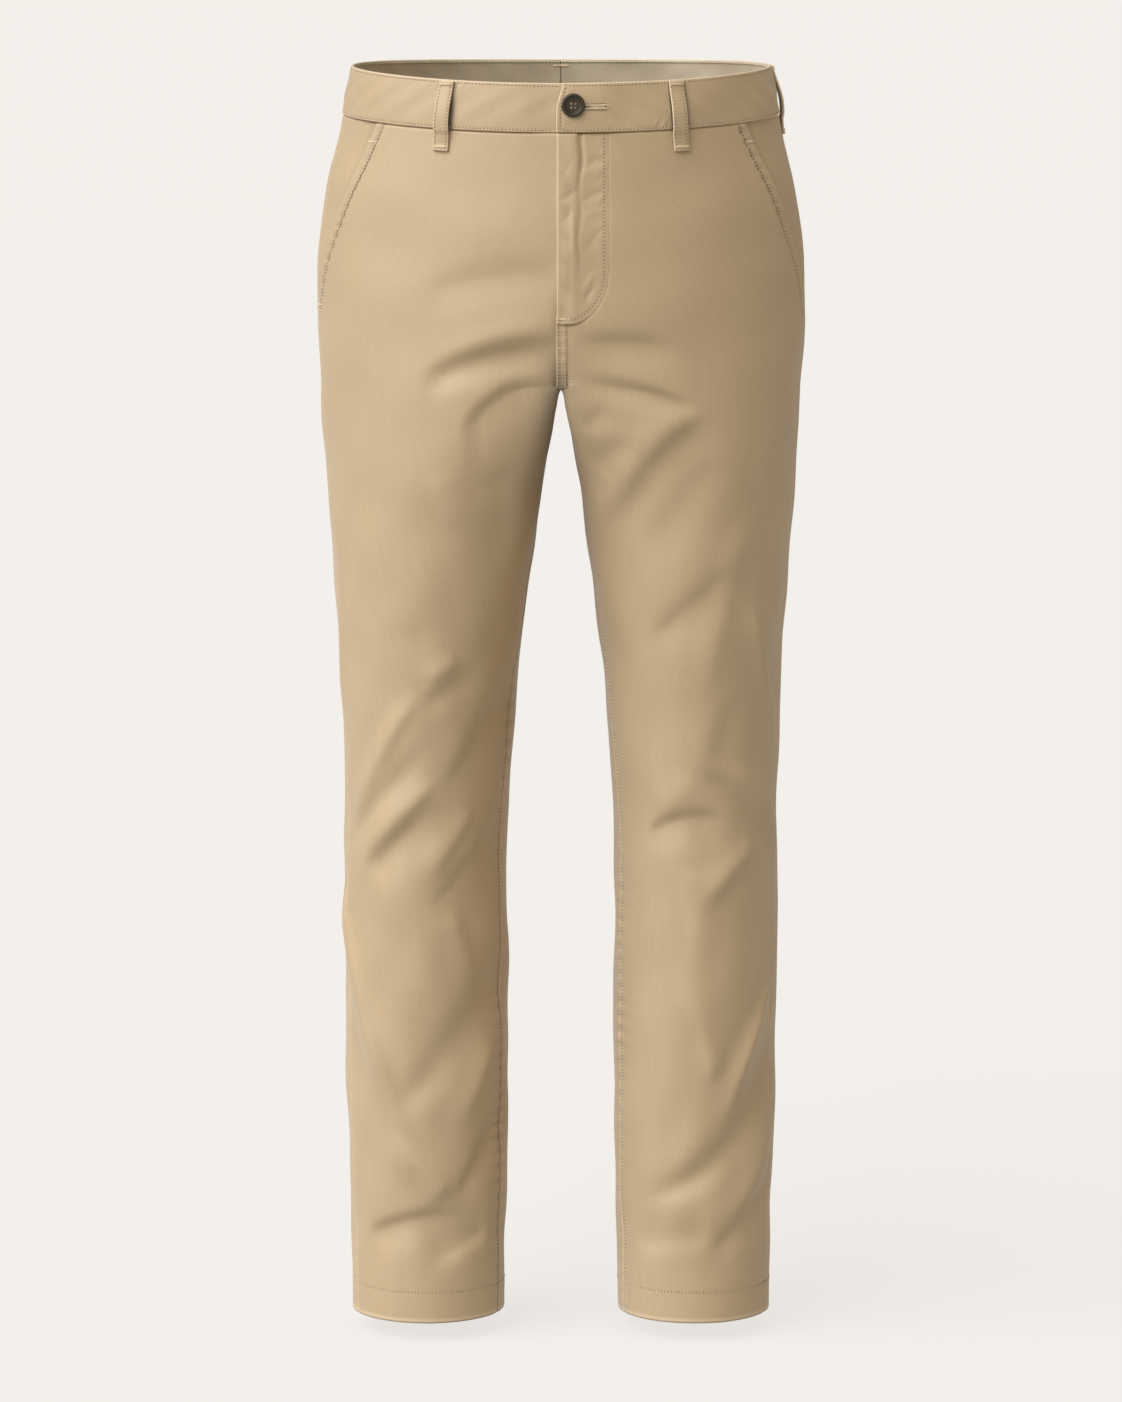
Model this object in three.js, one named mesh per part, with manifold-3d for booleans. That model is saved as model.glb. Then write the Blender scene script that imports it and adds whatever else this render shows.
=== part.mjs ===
// Chino trousers in cotton twill, filled out as when worn and hanging straight, with the legs a little
// apart. Millimetres, +Z up. The front faces -Y, and the wearer's left side lies at +X. The origin is the
// middle of the waist opening, half way up the waistband at its sides, where the wearer's waist holds it.
import * as THREE from "three";
import { mergeVertices } from "three/addons/utils/BufferGeometryUtils.js";
import Module from "manifold-3d";

const wasm = await Module();
wasm.setup();

// Sizes that everything else follows. A height is measured at the side seam.
const SEAM_GAP = 0.3;
const CLOTH = 1.2;
const HEM_CLOTH = 2.2;
const BAND_CLOTH = 2.0;
const BAND_PROUD = 0.8;
const BAND_TOP = 20;
const BAND_FOOT = -17;
const CROTCH = -230;
const HEM_TOP = -942;
const HEM_FOOT = -967.5;

// The rim is lower at the front and a little higher at the back, and that tilt is gone at hip height.
const RIM_TILT = 8.5;
const RIM_SAG = 4.5;
const RIM_LEVEL_FROM = -200;

// One leg's outline is an ellipse, outer and inner being the distances of its two sides from the middle of
// the garment. Above the crotch inner is negative: the two legs' ellipses run into each other and make one
// hip. gap is where the inside leg stands, which flattens the ellipse there, and soft is how widely that
// corner is rounded. front and back are its reach forwards and backwards, and mid is where it is widest.
const SECTIONS = [
  { height: 24, outer: 160.6, inner: -160.6, gap: 0, soft: 0, front: -111, back: 111, mid: 0 },
  { height: 0, outer: 165.4, inner: -165.4, gap: 0, soft: 0, front: -113, back: 115, mid: 0 },
  { height: -30, outer: 171.2, inner: -171.2, gap: 0, soft: 0, front: -115, back: 120, mid: 0 },
  { height: -76, outer: 182.1, inner: -182.1, gap: 0, soft: 0, front: -118, back: 128, mid: 1 },
  { height: -123, outer: 188.3, inner: -179, gap: 0, soft: 0, front: -119, back: 134, mid: 3 },
  { height: -165, outer: 190.1, inner: -157, gap: 0, soft: 0, front: -118, back: 135, mid: 4 },
  { height: -200, outer: 189.2, inner: -122, gap: 0, soft: 2, front: -115, back: 131, mid: 4 },
  { height: -230, outer: 187.5, inner: -86, gap: 1.4, soft: 8, front: -112, back: 123, mid: 4 },
  { height: -250, outer: 186.4, inner: -62, gap: 6, soft: 14, front: -110, back: 118, mid: 3 },
  { height: -275, outer: 184.6, inner: -34, gap: 10.6, soft: 17, front: -107, back: 111, mid: 3 },
  { height: -302, outer: 183.2, inner: -10, gap: 14.6, soft: 17, front: -103, back: 105, mid: 2 },
  { height: -357, outer: 179.3, inner: 12.4, gap: 21.6, soft: 13, front: -97, back: 98, mid: 1 },
  { height: -436, outer: 174.2, inner: 30.4, gap: 30.4, soft: 5, front: -88, back: 90, mid: 1 },
  { height: -516, outer: 171.2, inner: 38.2, gap: 38.2, soft: 0, front: -79, back: 82, mid: 2 },
  { height: -556, outer: 170.8, inner: 41.6, gap: 41.6, soft: 0, front: -75, back: 79, mid: 3 },
  { height: -636, outer: 171.4, inner: 42.2, gap: 42.2, soft: 0, front: -69, back: 77, mid: 5 },
  { height: -757, outer: 171, inner: 42, gap: 42, soft: 0, front: -61, back: 73, mid: 7 },
  { height: -840, outer: 169.2, inner: 43, gap: 43, soft: 0, front: -56, back: 69, mid: 8 },
  { height: -912, outer: 167.3, inner: 44.8, gap: 44.8, soft: 0, front: -51, back: 64, mid: 8 },
  { height: -970, outer: 166.8, inner: 45.6, gap: 45.6, soft: 0, front: -50, back: 62, mid: 7 },
];

// The middle seam runs straight down to FORK_START and then curves under, down to the crotch.
const FORK_START = -160;
const FORK_SQUARE = 3.2;
const FORK_ROUND = 0.55;

// Where the side seam and the inside leg seam run, in degrees in front of the leg's widest points.
const SEAM_ANGLES = [
  { height: 24, side: 6, inside: 0 },
  { height: -233, side: 8, inside: 0 },
  { height: -330, side: 11, inside: 10 },
  { height: -540, side: 19, inside: 21 },
  { height: -970, side: 22, inside: 23 },
];

// The slanted pocket mouth, by the angle round the hip at which its edge lies.
const POCKET_FOOT = -172;
const POCKET_MOUTH = [
  { height: 0, angle: 35 },
  { height: -17, angle: 33.5 },
  { height: -60, angle: 27.5 },
  { height: -105, angle: 20.5 },
  { height: -150, angle: 12 },
  { height: POCKET_FOOT, angle: 7.6 },
];
const POCKET_UNDERLAP = 6;

// Folds of the wearer's left and right legs, the front ones first. Each runs from one place to another,
// given as degrees round the leg (0 outer side, 90 front, 180 inner side, 270 back) and height. A positive
// depth is a trough and a negative one a ridge. above and below are its half widths on its upper and lower
// sides, and bow, where it has one, is how far its middle is lifted off the straight line.
const LEFT_FOLDS = [
  { fromAngle: 100, fromHeight: -190, toAngle: 85, toHeight: -186, depth: 2, above: 5, below: 6 },
  { fromAngle: 104, fromHeight: -212, toAngle: 70, toHeight: -237, depth: 4, above: 14, below: 10 },
  { fromAngle: 99, fromHeight: -230, toAngle: 73, toHeight: -251, depth: -2.5, above: 10, below: 20 },
  { fromAngle: 73, fromHeight: -247, toAngle: 126, toHeight: -327, depth: 2.5, above: 18, below: 18 },
  { fromAngle: 63, fromHeight: -372, toAngle: 116, toHeight: -420, depth: 3, above: 20, below: 16 },
  { fromAngle: 68, fromHeight: -396, toAngle: 108, toHeight: -443, depth: -2, above: 14, below: 20 },
  { fromAngle: 61, fromHeight: -458, toAngle: 72, toHeight: -513, depth: 3, above: 16, below: 16 },
  { fromAngle: 133, fromHeight: -552, toAngle: 90, toHeight: -533, depth: -3, above: 16, below: 9 },
  { fromAngle: 125, fromHeight: -572, toAngle: 80, toHeight: -551, depth: 4.5, above: 9, below: 12 },
  { fromAngle: 86, fromHeight: -522, toAngle: 53, toHeight: -588, depth: 4, above: 14, below: 8 },
  { fromAngle: 62, fromHeight: -522, toAngle: 8, toHeight: -588, depth: -3.5, above: 7, below: 9 },
  { fromAngle: 83, fromHeight: -593, toAngle: 48, toHeight: -602, depth: -2.5, above: 12, below: 14 },
  { fromAngle: 41, fromHeight: -604, toAngle: 81, toHeight: -640, depth: 3.5, above: 8, below: 15 },
  { fromAngle: 8, fromHeight: -682, toAngle: 56, toHeight: -758, depth: -3, above: 8, below: 12 },
  { fromAngle: 8, fromHeight: -742, toAngle: 119, toHeight: -866, depth: 6, above: 24, below: 11 },
  { fromAngle: 90, fromHeight: -743, toAngle: 71, toHeight: -769, depth: -2.5, above: 10, below: 10 },
  { fromAngle: 24, fromHeight: -824, toAngle: 86, toHeight: -873, depth: -3, above: 8, below: 10 },
  { fromAngle: 74, fromHeight: -900, toAngle: 135, toHeight: -913, depth: -3, above: 8, below: 16 },
  { fromAngle: 68, fromHeight: -897, toAngle: 86, toHeight: -938, depth: 3, above: 8, below: 13 },
  { fromAngle: 196, fromHeight: -262, toAngle: 268, toHeight: -286, depth: 4, above: 10, below: 16, bow: -4 },
  { fromAngle: 208, fromHeight: -300, toAngle: 300, toHeight: -322, depth: 3, above: 12, below: 18, bow: -5 },
  { fromAngle: 335, fromHeight: -250, toAngle: 290, toHeight: -292, depth: -3, above: 14, below: 14 },
  { fromAngle: 338, fromHeight: -470, toAngle: 262, toHeight: -520, depth: 4, above: 16, below: 11 },
  { fromAngle: 200, fromHeight: -505, toAngle: 272, toHeight: -548, depth: 5, above: 12, below: 13 },
  { fromAngle: 330, fromHeight: -540, toAngle: 255, toHeight: -585, depth: -3.5, above: 12, below: 9 },
  { fromAngle: 212, fromHeight: -590, toAngle: 300, toHeight: -640, depth: 4, above: 10, below: 16, bow: 4 },
  { fromAngle: 335, fromHeight: -690, toAngle: 240, toHeight: -770, depth: 5, above: 22, below: 11 },
  { fromAngle: 205, fromHeight: -800, toAngle: 285, toHeight: -850, depth: -3, above: 10, below: 14 },
  { fromAngle: 320, fromHeight: -850, toAngle: 225, toHeight: -900, depth: 3.5, above: 12, below: 9 },
];
const RIGHT_FOLDS = [
  { fromAngle: 101, fromHeight: -201, toAngle: 67, toHeight: -215, depth: 3.5, above: 13, below: 9, bow: 4 },
  { fromAngle: 101, fromHeight: -212, toAngle: 74, toHeight: -222, depth: -2.5, above: 9, below: 9 },
  { fromAngle: 107, fromHeight: -221, toAngle: 85, toHeight: -228, depth: 4, above: 10, below: 8, bow: 3 },
  { fromAngle: 86, fromHeight: -228, toAngle: 86, toHeight: -266, depth: 3, above: 12, below: 14 },
  { fromAngle: 117, fromHeight: -436, toAngle: 93, toHeight: -462, depth: 3, above: 10, below: 12 },
  { fromAngle: 98, fromHeight: -465, toAngle: 26, toHeight: -561, depth: -4, above: 14, below: 16 },
  { fromAngle: 116, fromHeight: -475, toAngle: 74, toHeight: -495, depth: -2, above: 10, below: 14 },
  { fromAngle: 112, fromHeight: -499, toAngle: 99, toHeight: -527, depth: 3, above: 12, below: 14 },
  { fromAngle: 90, fromHeight: -524, toAngle: 26, toHeight: -591, depth: -4, above: 12, below: 8 },
  { fromAngle: 106, fromHeight: -531, toAngle: 50, toHeight: -598, depth: 5, above: 8, below: 13 },
  { fromAngle: 129, fromHeight: -556, toAngle: 99, toHeight: -585, depth: -3, above: 12, below: 9 },
  { fromAngle: 121, fromHeight: -582, toAngle: 95, toHeight: -621, depth: 4, above: 8, below: 15 },
  { fromAngle: 22, fromHeight: -672, toAngle: 69, toHeight: -768, depth: -3, above: 9, below: 14 },
  { fromAngle: 157, fromHeight: -688, toAngle: 75, toHeight: -785, depth: 6, above: 22, below: 11 },
  { fromAngle: 76, fromHeight: -788, toAngle: 102, toHeight: -857, depth: -3, above: 10, below: 10 },
  { fromAngle: 139, fromHeight: -790, toAngle: 109, toHeight: -856, depth: 3, above: 14, below: 10 },
  { fromAngle: 124, fromHeight: -875, toAngle: 32, toHeight: -896, depth: 4.5, above: 15, below: 8 },
  { fromAngle: 141, fromHeight: -903, toAngle: 62, toHeight: -905, depth: -3.5, above: 7, below: 16 },
  { fromAngle: 152, fromHeight: -914, toAngle: 132, toHeight: -936, depth: 2.5, above: 10, below: 10 },
  { fromAngle: 198, fromHeight: -268, toAngle: 262, toHeight: -280, depth: 4.5, above: 11, below: 14, bow: -3 },
  { fromAngle: 340, fromHeight: -262, toAngle: 250, toHeight: -318, depth: 3, above: 16, below: 12, bow: -6 },
  { fromAngle: 215, fromHeight: -345, toAngle: 285, toHeight: -372, depth: -2.5, above: 14, below: 16 },
  { fromAngle: 204, fromHeight: -478, toAngle: 290, toHeight: -512, depth: 4, above: 14, below: 12 },
  { fromAngle: 332, fromHeight: -500, toAngle: 250, toHeight: -556, depth: 5, above: 14, below: 10 },
  { fromAngle: 215, fromHeight: -570, toAngle: 300, toHeight: -600, depth: -3.5, above: 9, below: 14, bow: 4 },
  { fromAngle: 338, fromHeight: -612, toAngle: 268, toHeight: -668, depth: 4, above: 16, below: 10 },
  { fromAngle: 200, fromHeight: -700, toAngle: 300, toHeight: -790, depth: 5.5, above: 20, below: 12 },
  { fromAngle: 330, fromHeight: -815, toAngle: 260, toHeight: -845, depth: -3, above: 9, below: 12 },
  { fromAngle: 212, fromHeight: -868, toAngle: 298, toHeight: -892, depth: 3.5, above: 9, below: 14, bow: 3 },
];

// Smooth step from 0 at a to 1 at b.
function ramp(value, a, b) {
  const t = Math.min(1, Math.max(0, (value - a) / (b - a)));
  return t * t * (3 - 2 * t);
}

// A column of a table of heights, read at any height along a smooth curve through its rows.
function column(table, name, height) {
  const last = table.length - 1;
  const row = table.findIndex((r) => r.height <= height);
  const i = row < 0 ? last : Math.max(1, row);
  const at = (j) => table[Math.min(last, Math.max(0, j))];
  const slope = (j) => {
    const [p, n] = [at(j - 1), at(j + 1)];
    return (n[name] - p[name]) / (n.height - p.height);
  };
  const [p, n] = [at(i - 1), at(i)];
  const span = n.height - p.height;
  const t = Math.min(1, Math.max(0, (height - p.height) / span));
  const [t2, t3] = [t * t, t * t * t];
  return (
    (2 * t3 - 3 * t2 + 1) * p[name] +
    (t3 - 2 * t2 + t) * span * slope(i - 1) +
    (3 * t2 - 2 * t3) * n[name] +
    (t3 - t2) * span * slope(i)
  );
}

// The ellipse of one leg at a height and, above the crotch, the angle of its seam towards the other leg.
function section(height) {
  const get = (name) => column(SECTIONS, name, height);
  const [outer, inner, mid] = [get("outer"), get("inner"), get("mid")];
  const [centre, half] = [(outer + inner) / 2, (outer - inner) / 2];
  const s = { centre, half, mid, forwards: mid - get("front"), backwards: get("back") - mid };
  s.gap = height > CROTCH ? 0 : Math.max(0, get("gap"));
  s.soft = Math.max(0, get("soft"));
  if (height > CROTCH) {
    const curved = Math.max(0, (FORK_START - height) / (FORK_START - CROTCH));
    const level = Math.sqrt(1 - (centre / half) ** 2) * (1 - curved ** FORK_SQUARE) ** FORK_ROUND;
    s.seam = 180 - THREE.MathUtils.radToDeg(Math.asin(level));
    s.soft = Math.min(s.soft, Math.max(0, half * Math.sqrt(1 - level * level) - centre));
  }
  return s;
}

// The distance of a point from the middle, held outside the gap between the legs with a rounded corner.
function heldOut(x, gap, soft) {
  const past = x - gap;
  if (past >= soft) return x;
  if (past <= -soft) return gap;
  return gap + (past + soft) ** 2 / (4 * soft);
}

// The plain form with no folds, at an angle round one leg and a height.
function form(leg, angle, height) {
  const s = section(height);
  const radians = THREE.MathUtils.degToRad(angle);
  const sine = Math.sin(radians);
  const y = s.mid - sine * (sine > 0 ? s.forwards : s.backwards);
  const depth = -sine;
  const tilt = (RIM_TILT * depth - RIM_SAG * depth * depth) * ramp(height, RIM_LEVEL_FROM, BAND_FOOT);
  const x = s.centre + s.half * Math.cos(radians);
  return new THREE.Vector3(leg * (height < FORK_START ? heldOut(x, s.gap, s.soft) : x), y, height + tilt);
}

// The direction square to the plain form.
function outwards(leg, angle, height) {
  const [turn, rise] = [0.4, 0.8];
  const across = form(leg, angle + turn, height).sub(form(leg, angle - turn, height));
  const along = form(leg, angle, height + rise).sub(form(leg, angle, height - rise));
  return along.cross(across).multiplyScalar(leg).normalize();
}

// How far one fold moves the cloth at a place, in millimetres outwards.
function foldHeight(fold, angle, height) {
  const s = section((fold.fromHeight + fold.toHeight) / 2);
  const perDegree = THREE.MathUtils.degToRad((s.half + (s.forwards + s.backwards) / 2) / 2);
  const wrap = (a) => ((((a - fold.fromAngle + 180) % 360) + 360) % 360) - 180;
  const [ex, ez] = [(fold.toAngle - fold.fromAngle) * perDegree, fold.toHeight - fold.fromHeight];
  const [px, pz] = [wrap(angle) * perDegree, height - fold.fromHeight];
  const length = Math.hypot(ex, ez);
  const along = (px * ex + pz * ez) / (length * length);
  const side = ((px * ez - pz * ex) / length) * (ex > 0 ? -1 : 1);
  const bowed = side - (fold.bow ?? 0) * 4 * along * (1 - along);
  const width = bowed > 0 ? fold.above : fold.below;
  const lengthways = ramp(along, -0.15, 0.3) * (1 - ramp(along, 0.7, 1.15));
  return -fold.depth * lengthways * Math.exp(-((bowed / width) ** 2));
}

// All the folds at a place. They fade near the middle seam, under the waistband and in the doubled hem.
const MIDDLE_FADE = { from: 2, to: 20 };
const BAND_FADE = 50;
const HEM_FADE = 45;
const HEM_SHARE = 0.35;
function relief(leg, angle, height) {
  const x = Math.abs(form(leg, angle, height).x);
  const joined = ramp(height, CROTCH - 70, CROTCH - 20);
  const between = THREE.MathUtils.lerp(1, ramp(x, MIDDLE_FADE.from, MIDDLE_FADE.to), joined);
  const hem = THREE.MathUtils.lerp(HEM_SHARE, 1, ramp(height, HEM_TOP, HEM_TOP + HEM_FADE));
  const top = 1 - ramp(height, BAND_FOOT - BAND_FADE, BAND_FOOT);
  const folds = leg > 0 ? LEFT_FOLDS : RIGHT_FOLDS;
  return folds.reduce((sum, fold) => sum + foldHeight(fold, angle, height), 0) * between * hem * top;
}

// A point lift millimetres outside the cloth's face.
function above(leg, angle, height, lift) {
  const p = form(leg, angle, height);
  return p.addScaledVector(outwards(leg, angle, height), relief(leg, angle, height) + lift);
}

// The same for a leg's own panels, which never cross the middle of the garment.
function clothPoint(leg, angle, height, lift) {
  const p = above(leg, angle, height, lift);
  p.x = leg * Math.max(SEAM_GAP / 2, leg * p.x);
  return p;
}

// A point near the waist by an angle all round the garment: 0 is the wearer's left, 90 the middle of the
// front, 180 the wearer's right and 270 the middle of the back.
function waistPoint(angle, height, lift) {
  const leg = Math.cos(THREE.MathUtils.degToRad(angle)) >= 0 ? 1 : -1;
  return above(leg, leg > 0 ? angle : 180 - angle, height, lift);
}

// A point on the front above the place where the legs part, by its distance across from the middle.
function frontPoint(x, height, lift) {
  const s = section(height);
  const angle = THREE.MathUtils.radToDeg(Math.acos((Math.abs(x) - s.centre) / s.half));
  return above(x >= 0 ? 1 : -1, angle, height, lift);
}

// A closed wall over a grid of places. outer and inner give its two faces, for u across and v down from 0 to 1.
function wall(name, material, across, down, outer, inner) {
  const points = [];
  const faces = [];
  for (const face of [outer, inner])
    for (let j = 0; j <= down; j++) for (let i = 0; i <= across; i++) points.push(face(i / across, j / down));
  const id = (layer, i, j) => (layer * (down + 1) + j) * (across + 1) + i;
  const quad = (a, b, c, d) => faces.push(a, b, c, a, c, d);
  for (let j = 0; j < down; j++)
    for (let i = 0; i < across; i++) {
      quad(id(0, i, j), id(0, i, j + 1), id(0, i + 1, j + 1), id(0, i + 1, j));
      quad(id(1, i, j), id(1, i + 1, j), id(1, i + 1, j + 1), id(1, i, j + 1));
    }
  for (let i = 0; i < across; i++) {
    quad(id(0, i, 0), id(0, i + 1, 0), id(1, i + 1, 0), id(1, i, 0));
    quad(id(0, i + 1, down), id(0, i, down), id(1, i, down), id(1, i + 1, down));
  }
  for (let j = 0; j < down; j++) {
    quad(id(0, 0, j + 1), id(0, 0, j), id(1, 0, j), id(1, 0, j + 1));
    quad(id(0, across, j), id(0, across, j + 1), id(1, across, j + 1), id(1, across, j));
  }
  const middle = id(0, Math.floor(across / 2), Math.floor(down / 2));
  const edge1 = points[middle + 1].clone().sub(points[middle]);
  const edge2 = points[middle + across + 1].clone().sub(points[middle]);
  const through = points[middle].clone().sub(points[middle + (across + 1) * (down + 1)]);
  if (edge2.cross(edge1).dot(through) < 0) faces.reverse();
  const geometry = new THREE.BufferGeometry().setFromPoints(points);
  geometry.setIndex(faces);
  geometry.computeVertexNormals();
  const mesh = new THREE.Mesh(geometry, material);
  mesh.name = name;
  return mesh;
}

const twill = new THREE.MeshStandardMaterial({ color: 0xbfa27a, roughness: 0.85, metalness: 0 });
const bandTwill = new THREE.MeshStandardMaterial({ color: 0xbda078, roughness: 0.85, metalness: 0 });
const horn = new THREE.MeshStandardMaterial({ color: 0x3f362b, roughness: 0.45, metalness: 0 });
const garment = new THREE.Group();

// The rows of a leg panel: close together where the crotch curves under, then even down to the hem.
const RISE_ROWS = 13;
const RISE_CROWDING = 1.45;
const LEG_ROWS = 31;
function panelHeight(v) {
  const row = v * (RISE_ROWS + LEG_ROWS);
  const top = BAND_FOOT - SEAM_GAP;
  if (row <= RISE_ROWS) return CROTCH + (top - CROTCH) * (1 - row / RISE_ROWS) ** RISE_CROWDING;
  return CROTCH + ((HEM_FOOT - CROTCH) * (row - RISE_ROWS)) / LEG_ROWS;
}

// The angle of the seam towards the other leg: middle seam above the crotch, inside leg seam below it.
function innerSeam(height) {
  if (height > CROTCH) return section(height).seam;
  return 180 - column(SEAM_ANGLES, "inside", height);
}
const clothAt = (height) => (height < HEM_TOP ? HEM_CLOTH : CLOTH);

// Half of a seam's gap, as degrees round the leg. At the sides the cloth runs mostly forwards and backwards.
function halfGap(height) {
  return THREE.MathUtils.radToDeg(SEAM_GAP / 2 / section(height).forwards) * 1.2;
}

// The angle round the leg at which the plain ellipse would reach the middle of the garment or the gap.
function corner(height) {
  const s = section(height);
  return THREE.MathUtils.radToDeg(Math.acos(Math.max(-1, (s.gap - s.centre) / s.half)));
}

// A leg panel between two edges given as angles. The columns past CORNER_COLUMN cover the stretch where the
// two legs touch above the crotch, so one column runs down the corner. Below CORNER_ENDS all are even.
const PANEL_COLUMNS = 14;
const CORNER_COLUMN = 12;
const CORNER_EDGE = 2.5;
const CORNER_STARTS = -240;
const CORNER_ENDS = -300;
function panel(name, leg, outerEdge, innerEdge) {
  const share = CORNER_COLUMN / PANEL_COLUMNS;
  const place = (face) => (u, v) => {
    const height = panelHeight(v);
    const [outer, inner] = [outerEdge(height), innerEdge(height)];
    const turned = inner > outer ? corner(height) : 360 - corner(height);
    const nearest = inner > outer ? inner - CORNER_EDGE : inner + CORNER_EDGE;
    const held = inner > outer ? Math.min(turned, nearest) : Math.max(turned, nearest);
    const even = THREE.MathUtils.lerp(outer, inner, share);
    const bend = THREE.MathUtils.lerp(even, held, ramp(height, CORNER_ENDS, CORNER_STARTS));
    const angle =
      u < share
        ? THREE.MathUtils.lerp(outer, bend, u / share)
        : THREE.MathUtils.lerp(bend, inner, (u - share) / (1 - share));
    return clothPoint(leg, angle, height, face ? -clothAt(height) : 0);
  };
  garment.add(wall(name, twill, PANEL_COLUMNS, RISE_ROWS + LEG_ROWS, place(0), place(1)));
}

// Front panels, from the pocket mouth or side seam to the middle seam and the inside leg seam.
const sideSeam = (height) => column(SEAM_ANGLES, "side", height);
const pocketMouth = (height) => column(POCKET_MOUTH, "angle", height);
function frontOuter(height) {
  return Math.max(sideSeam(height), height > POCKET_FOOT ? pocketMouth(height) : 0) + halfGap(height);
}
const frontInner = (height) => innerSeam(height) - halfGap(height);
panel("front_left", 1, frontOuter, frontInner);
panel("front_right", -1, frontOuter, frontInner);

// Back panels, from the side seam round to the seat seam and the inside leg seam.
const backOuter = (height) => 360 + sideSeam(height) - halfGap(height);
function backInner(height) {
  return (height > CROTCH ? 360 - innerSeam(height) : innerSeam(height)) + halfGap(height);
}
panel("back_left", 1, backOuter, backInner);
panel("back_right", -1, backOuter, backInner);

// Pocket facings: the cloth that shows beyond the slanted mouth. Each is sewn into the side seam and the
// waistband, and runs on behind the front panel's edge.
const FACING_CLOTH = 1.0;
const MOUTH_STANDS_OFF = 1.0;
const FACING_SINK = CLOTH + MOUTH_STANDS_OFF;
const FACING_FOOT = POCKET_FOOT + 5;
for (const [name, leg] of [["pocket_facing_left", 1], ["pocket_facing_right", -1]]) {
  const place = (face) => (u, v) => {
    const height = THREE.MathUtils.lerp(BAND_FOOT - SEAM_GAP, FACING_FOOT, v);
    const [seam, mouth] = [sideSeam(height) + halfGap(height), pocketMouth(height)];
    const angle = THREE.MathUtils.lerp(seam, mouth + POCKET_UNDERLAP, u);
    const sunk = FACING_SINK * ramp(angle, seam, Math.max(seam + 0.4, mouth - 0.6));
    return clothPoint(leg, angle, height, -sunk - face * FACING_CLOTH);
  };
  garment.add(wall(name, twill, 8, 10, place(0), place(1)));
}

// Fly: the doubled cloth over the zip, from its folded front edge to the curved line of stitching.
const FLY_EDGE = -3.2;
const FLY_WIDTH = 35.5;
const FLY_FOOT = -160;
const FLY_CURVE = 34;
const FLY_CLOTH = 1.0;
const FLY_CLEAR = 0.5;
const FLY_TIP_SHARE = 0.2;
const flyPlace = (face) => (u, v) => {
  const height = THREE.MathUtils.lerp(BAND_FOOT - SEAM_GAP, FLY_FOOT, v);
  const down = Math.min(1, Math.max(0, (FLY_FOOT + FLY_CURVE - height) / FLY_CURVE));
  const width = FLY_WIDTH * THREE.MathUtils.lerp(FLY_TIP_SHARE, 1, Math.sqrt(1 - down * down));
  return frontPoint(FLY_EDGE + width * u, height, FLY_CLEAR + (1 - face) * FLY_CLOTH);
};
garment.add(wall("fly", twill, 8, 16, flyPlace(0), flyPlace(1)));

// Waistband: two halves joined at the middle of the back. At the front the left end laps over the right one.
const LAP_SHIFT = 1.2;
const BAND_LAP_EDGE = -3.6;
const BAND_UNDERLAP = 26;
const BAND_COLUMNS = 26;
const acrossAngle = (x) => THREE.MathUtils.radToDeg(Math.acos(x / column(SECTIONS, "outer", 0)));
const BACK_GAP_ANGLE = 0.08;
function band(name, fromAngle, toAngle, lapLift) {
  const place = (face) => (u, v) => {
    const angle = THREE.MathUtils.lerp(fromAngle, toAngle, u);
    const height = THREE.MathUtils.lerp(BAND_TOP, BAND_FOOT, v);
    return waistPoint(angle, height, BAND_PROUD + lapLift(waistPoint(angle, 0, 0)) - face * BAND_CLOTH);
  };
  garment.add(wall(name, bandTwill, BAND_COLUMNS, 3, place(0), place(1)));
}
const overLap = (p) => (p.y < 0 ? LAP_SHIFT * (1 - ramp(p.x, 28, 52)) : 0);
const underLap = (p) => (p.y < 0 ? -LAP_SHIFT * ramp(p.x, -32, -7) : 0);
band("waistband_left", -90 + BACK_GAP_ANGLE, acrossAngle(BAND_LAP_EDGE), overLap);
band("waistband_right", acrossAngle(BAND_UNDERLAP), 270 - BACK_GAP_ANGLE, underLap);

// Belt loops: straps sewn down at both ends, standing a little off the waistband between them.
const LOOP_WIDTH = 12;
const LOOP_CLOTH = 1.6;
const LOOP_TOP = 18.8;
const LOOP_FOOT = -34;
const LOOP_BOW = 2.4;
const LOOPS = [
  { name: "belt_loop_front_left", angle: 58 },
  { name: "belt_loop_front_right", angle: 122 },
  { name: "belt_loop_side_left", angle: -5 },
  { name: "belt_loop_side_right", angle: 196 },
  { name: "belt_loop_back", angle: 270 },
];
for (const { name, angle } of LOOPS) {
  const perDegree = waistPoint(angle + 0.5, 0, 0).distanceTo(waistPoint(angle - 0.5, 0, 0));
  const halfAngle = LOOP_WIDTH / 2 / perDegree;
  const place = (face) => (u, v) => {
    const height = THREE.MathUtils.lerp(LOOP_TOP, LOOP_FOOT, v);
    const overBand = (BAND_PROUD + SEAM_GAP) * ramp(height, BAND_FOOT - 6, BAND_FOOT - 1);
    const bow = LOOP_BOW * Math.sin(Math.PI * v) ** 2;
    const lift = Math.max(SEAM_GAP, overBand) + bow + (1 - face) * LOOP_CLOTH;
    return waistPoint(angle + halfAngle * (1 - 2 * u), height, lift);
  };
  garment.add(wall(name, bandTwill, 2, 10, place(0), place(1)));
}

// Waist button: a dished round button with a raised rim and four holes, on the lapped end of the waistband.
const BUTTON_RADIUS = 9;
const BUTTON_X = 9;
const BUTTON_HEIGHT = 3;
const BUTTON_HOLE = 1.0;
const BUTTON_HOLE_OUT = 2.1;
const BUTTON_PROFILE = [
  [0, 0],
  [6.6, 0],
  [8.4, 0.7],
  [BUTTON_RADIUS, 1.7],
  [8.6, 2.7],
  [7.7, 3.1],
  [6.6, 2.9],
  [5.6, 2.2],
  [0, 1.9],
].map(([r, y]) => new THREE.Vector2(r, y));

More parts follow.
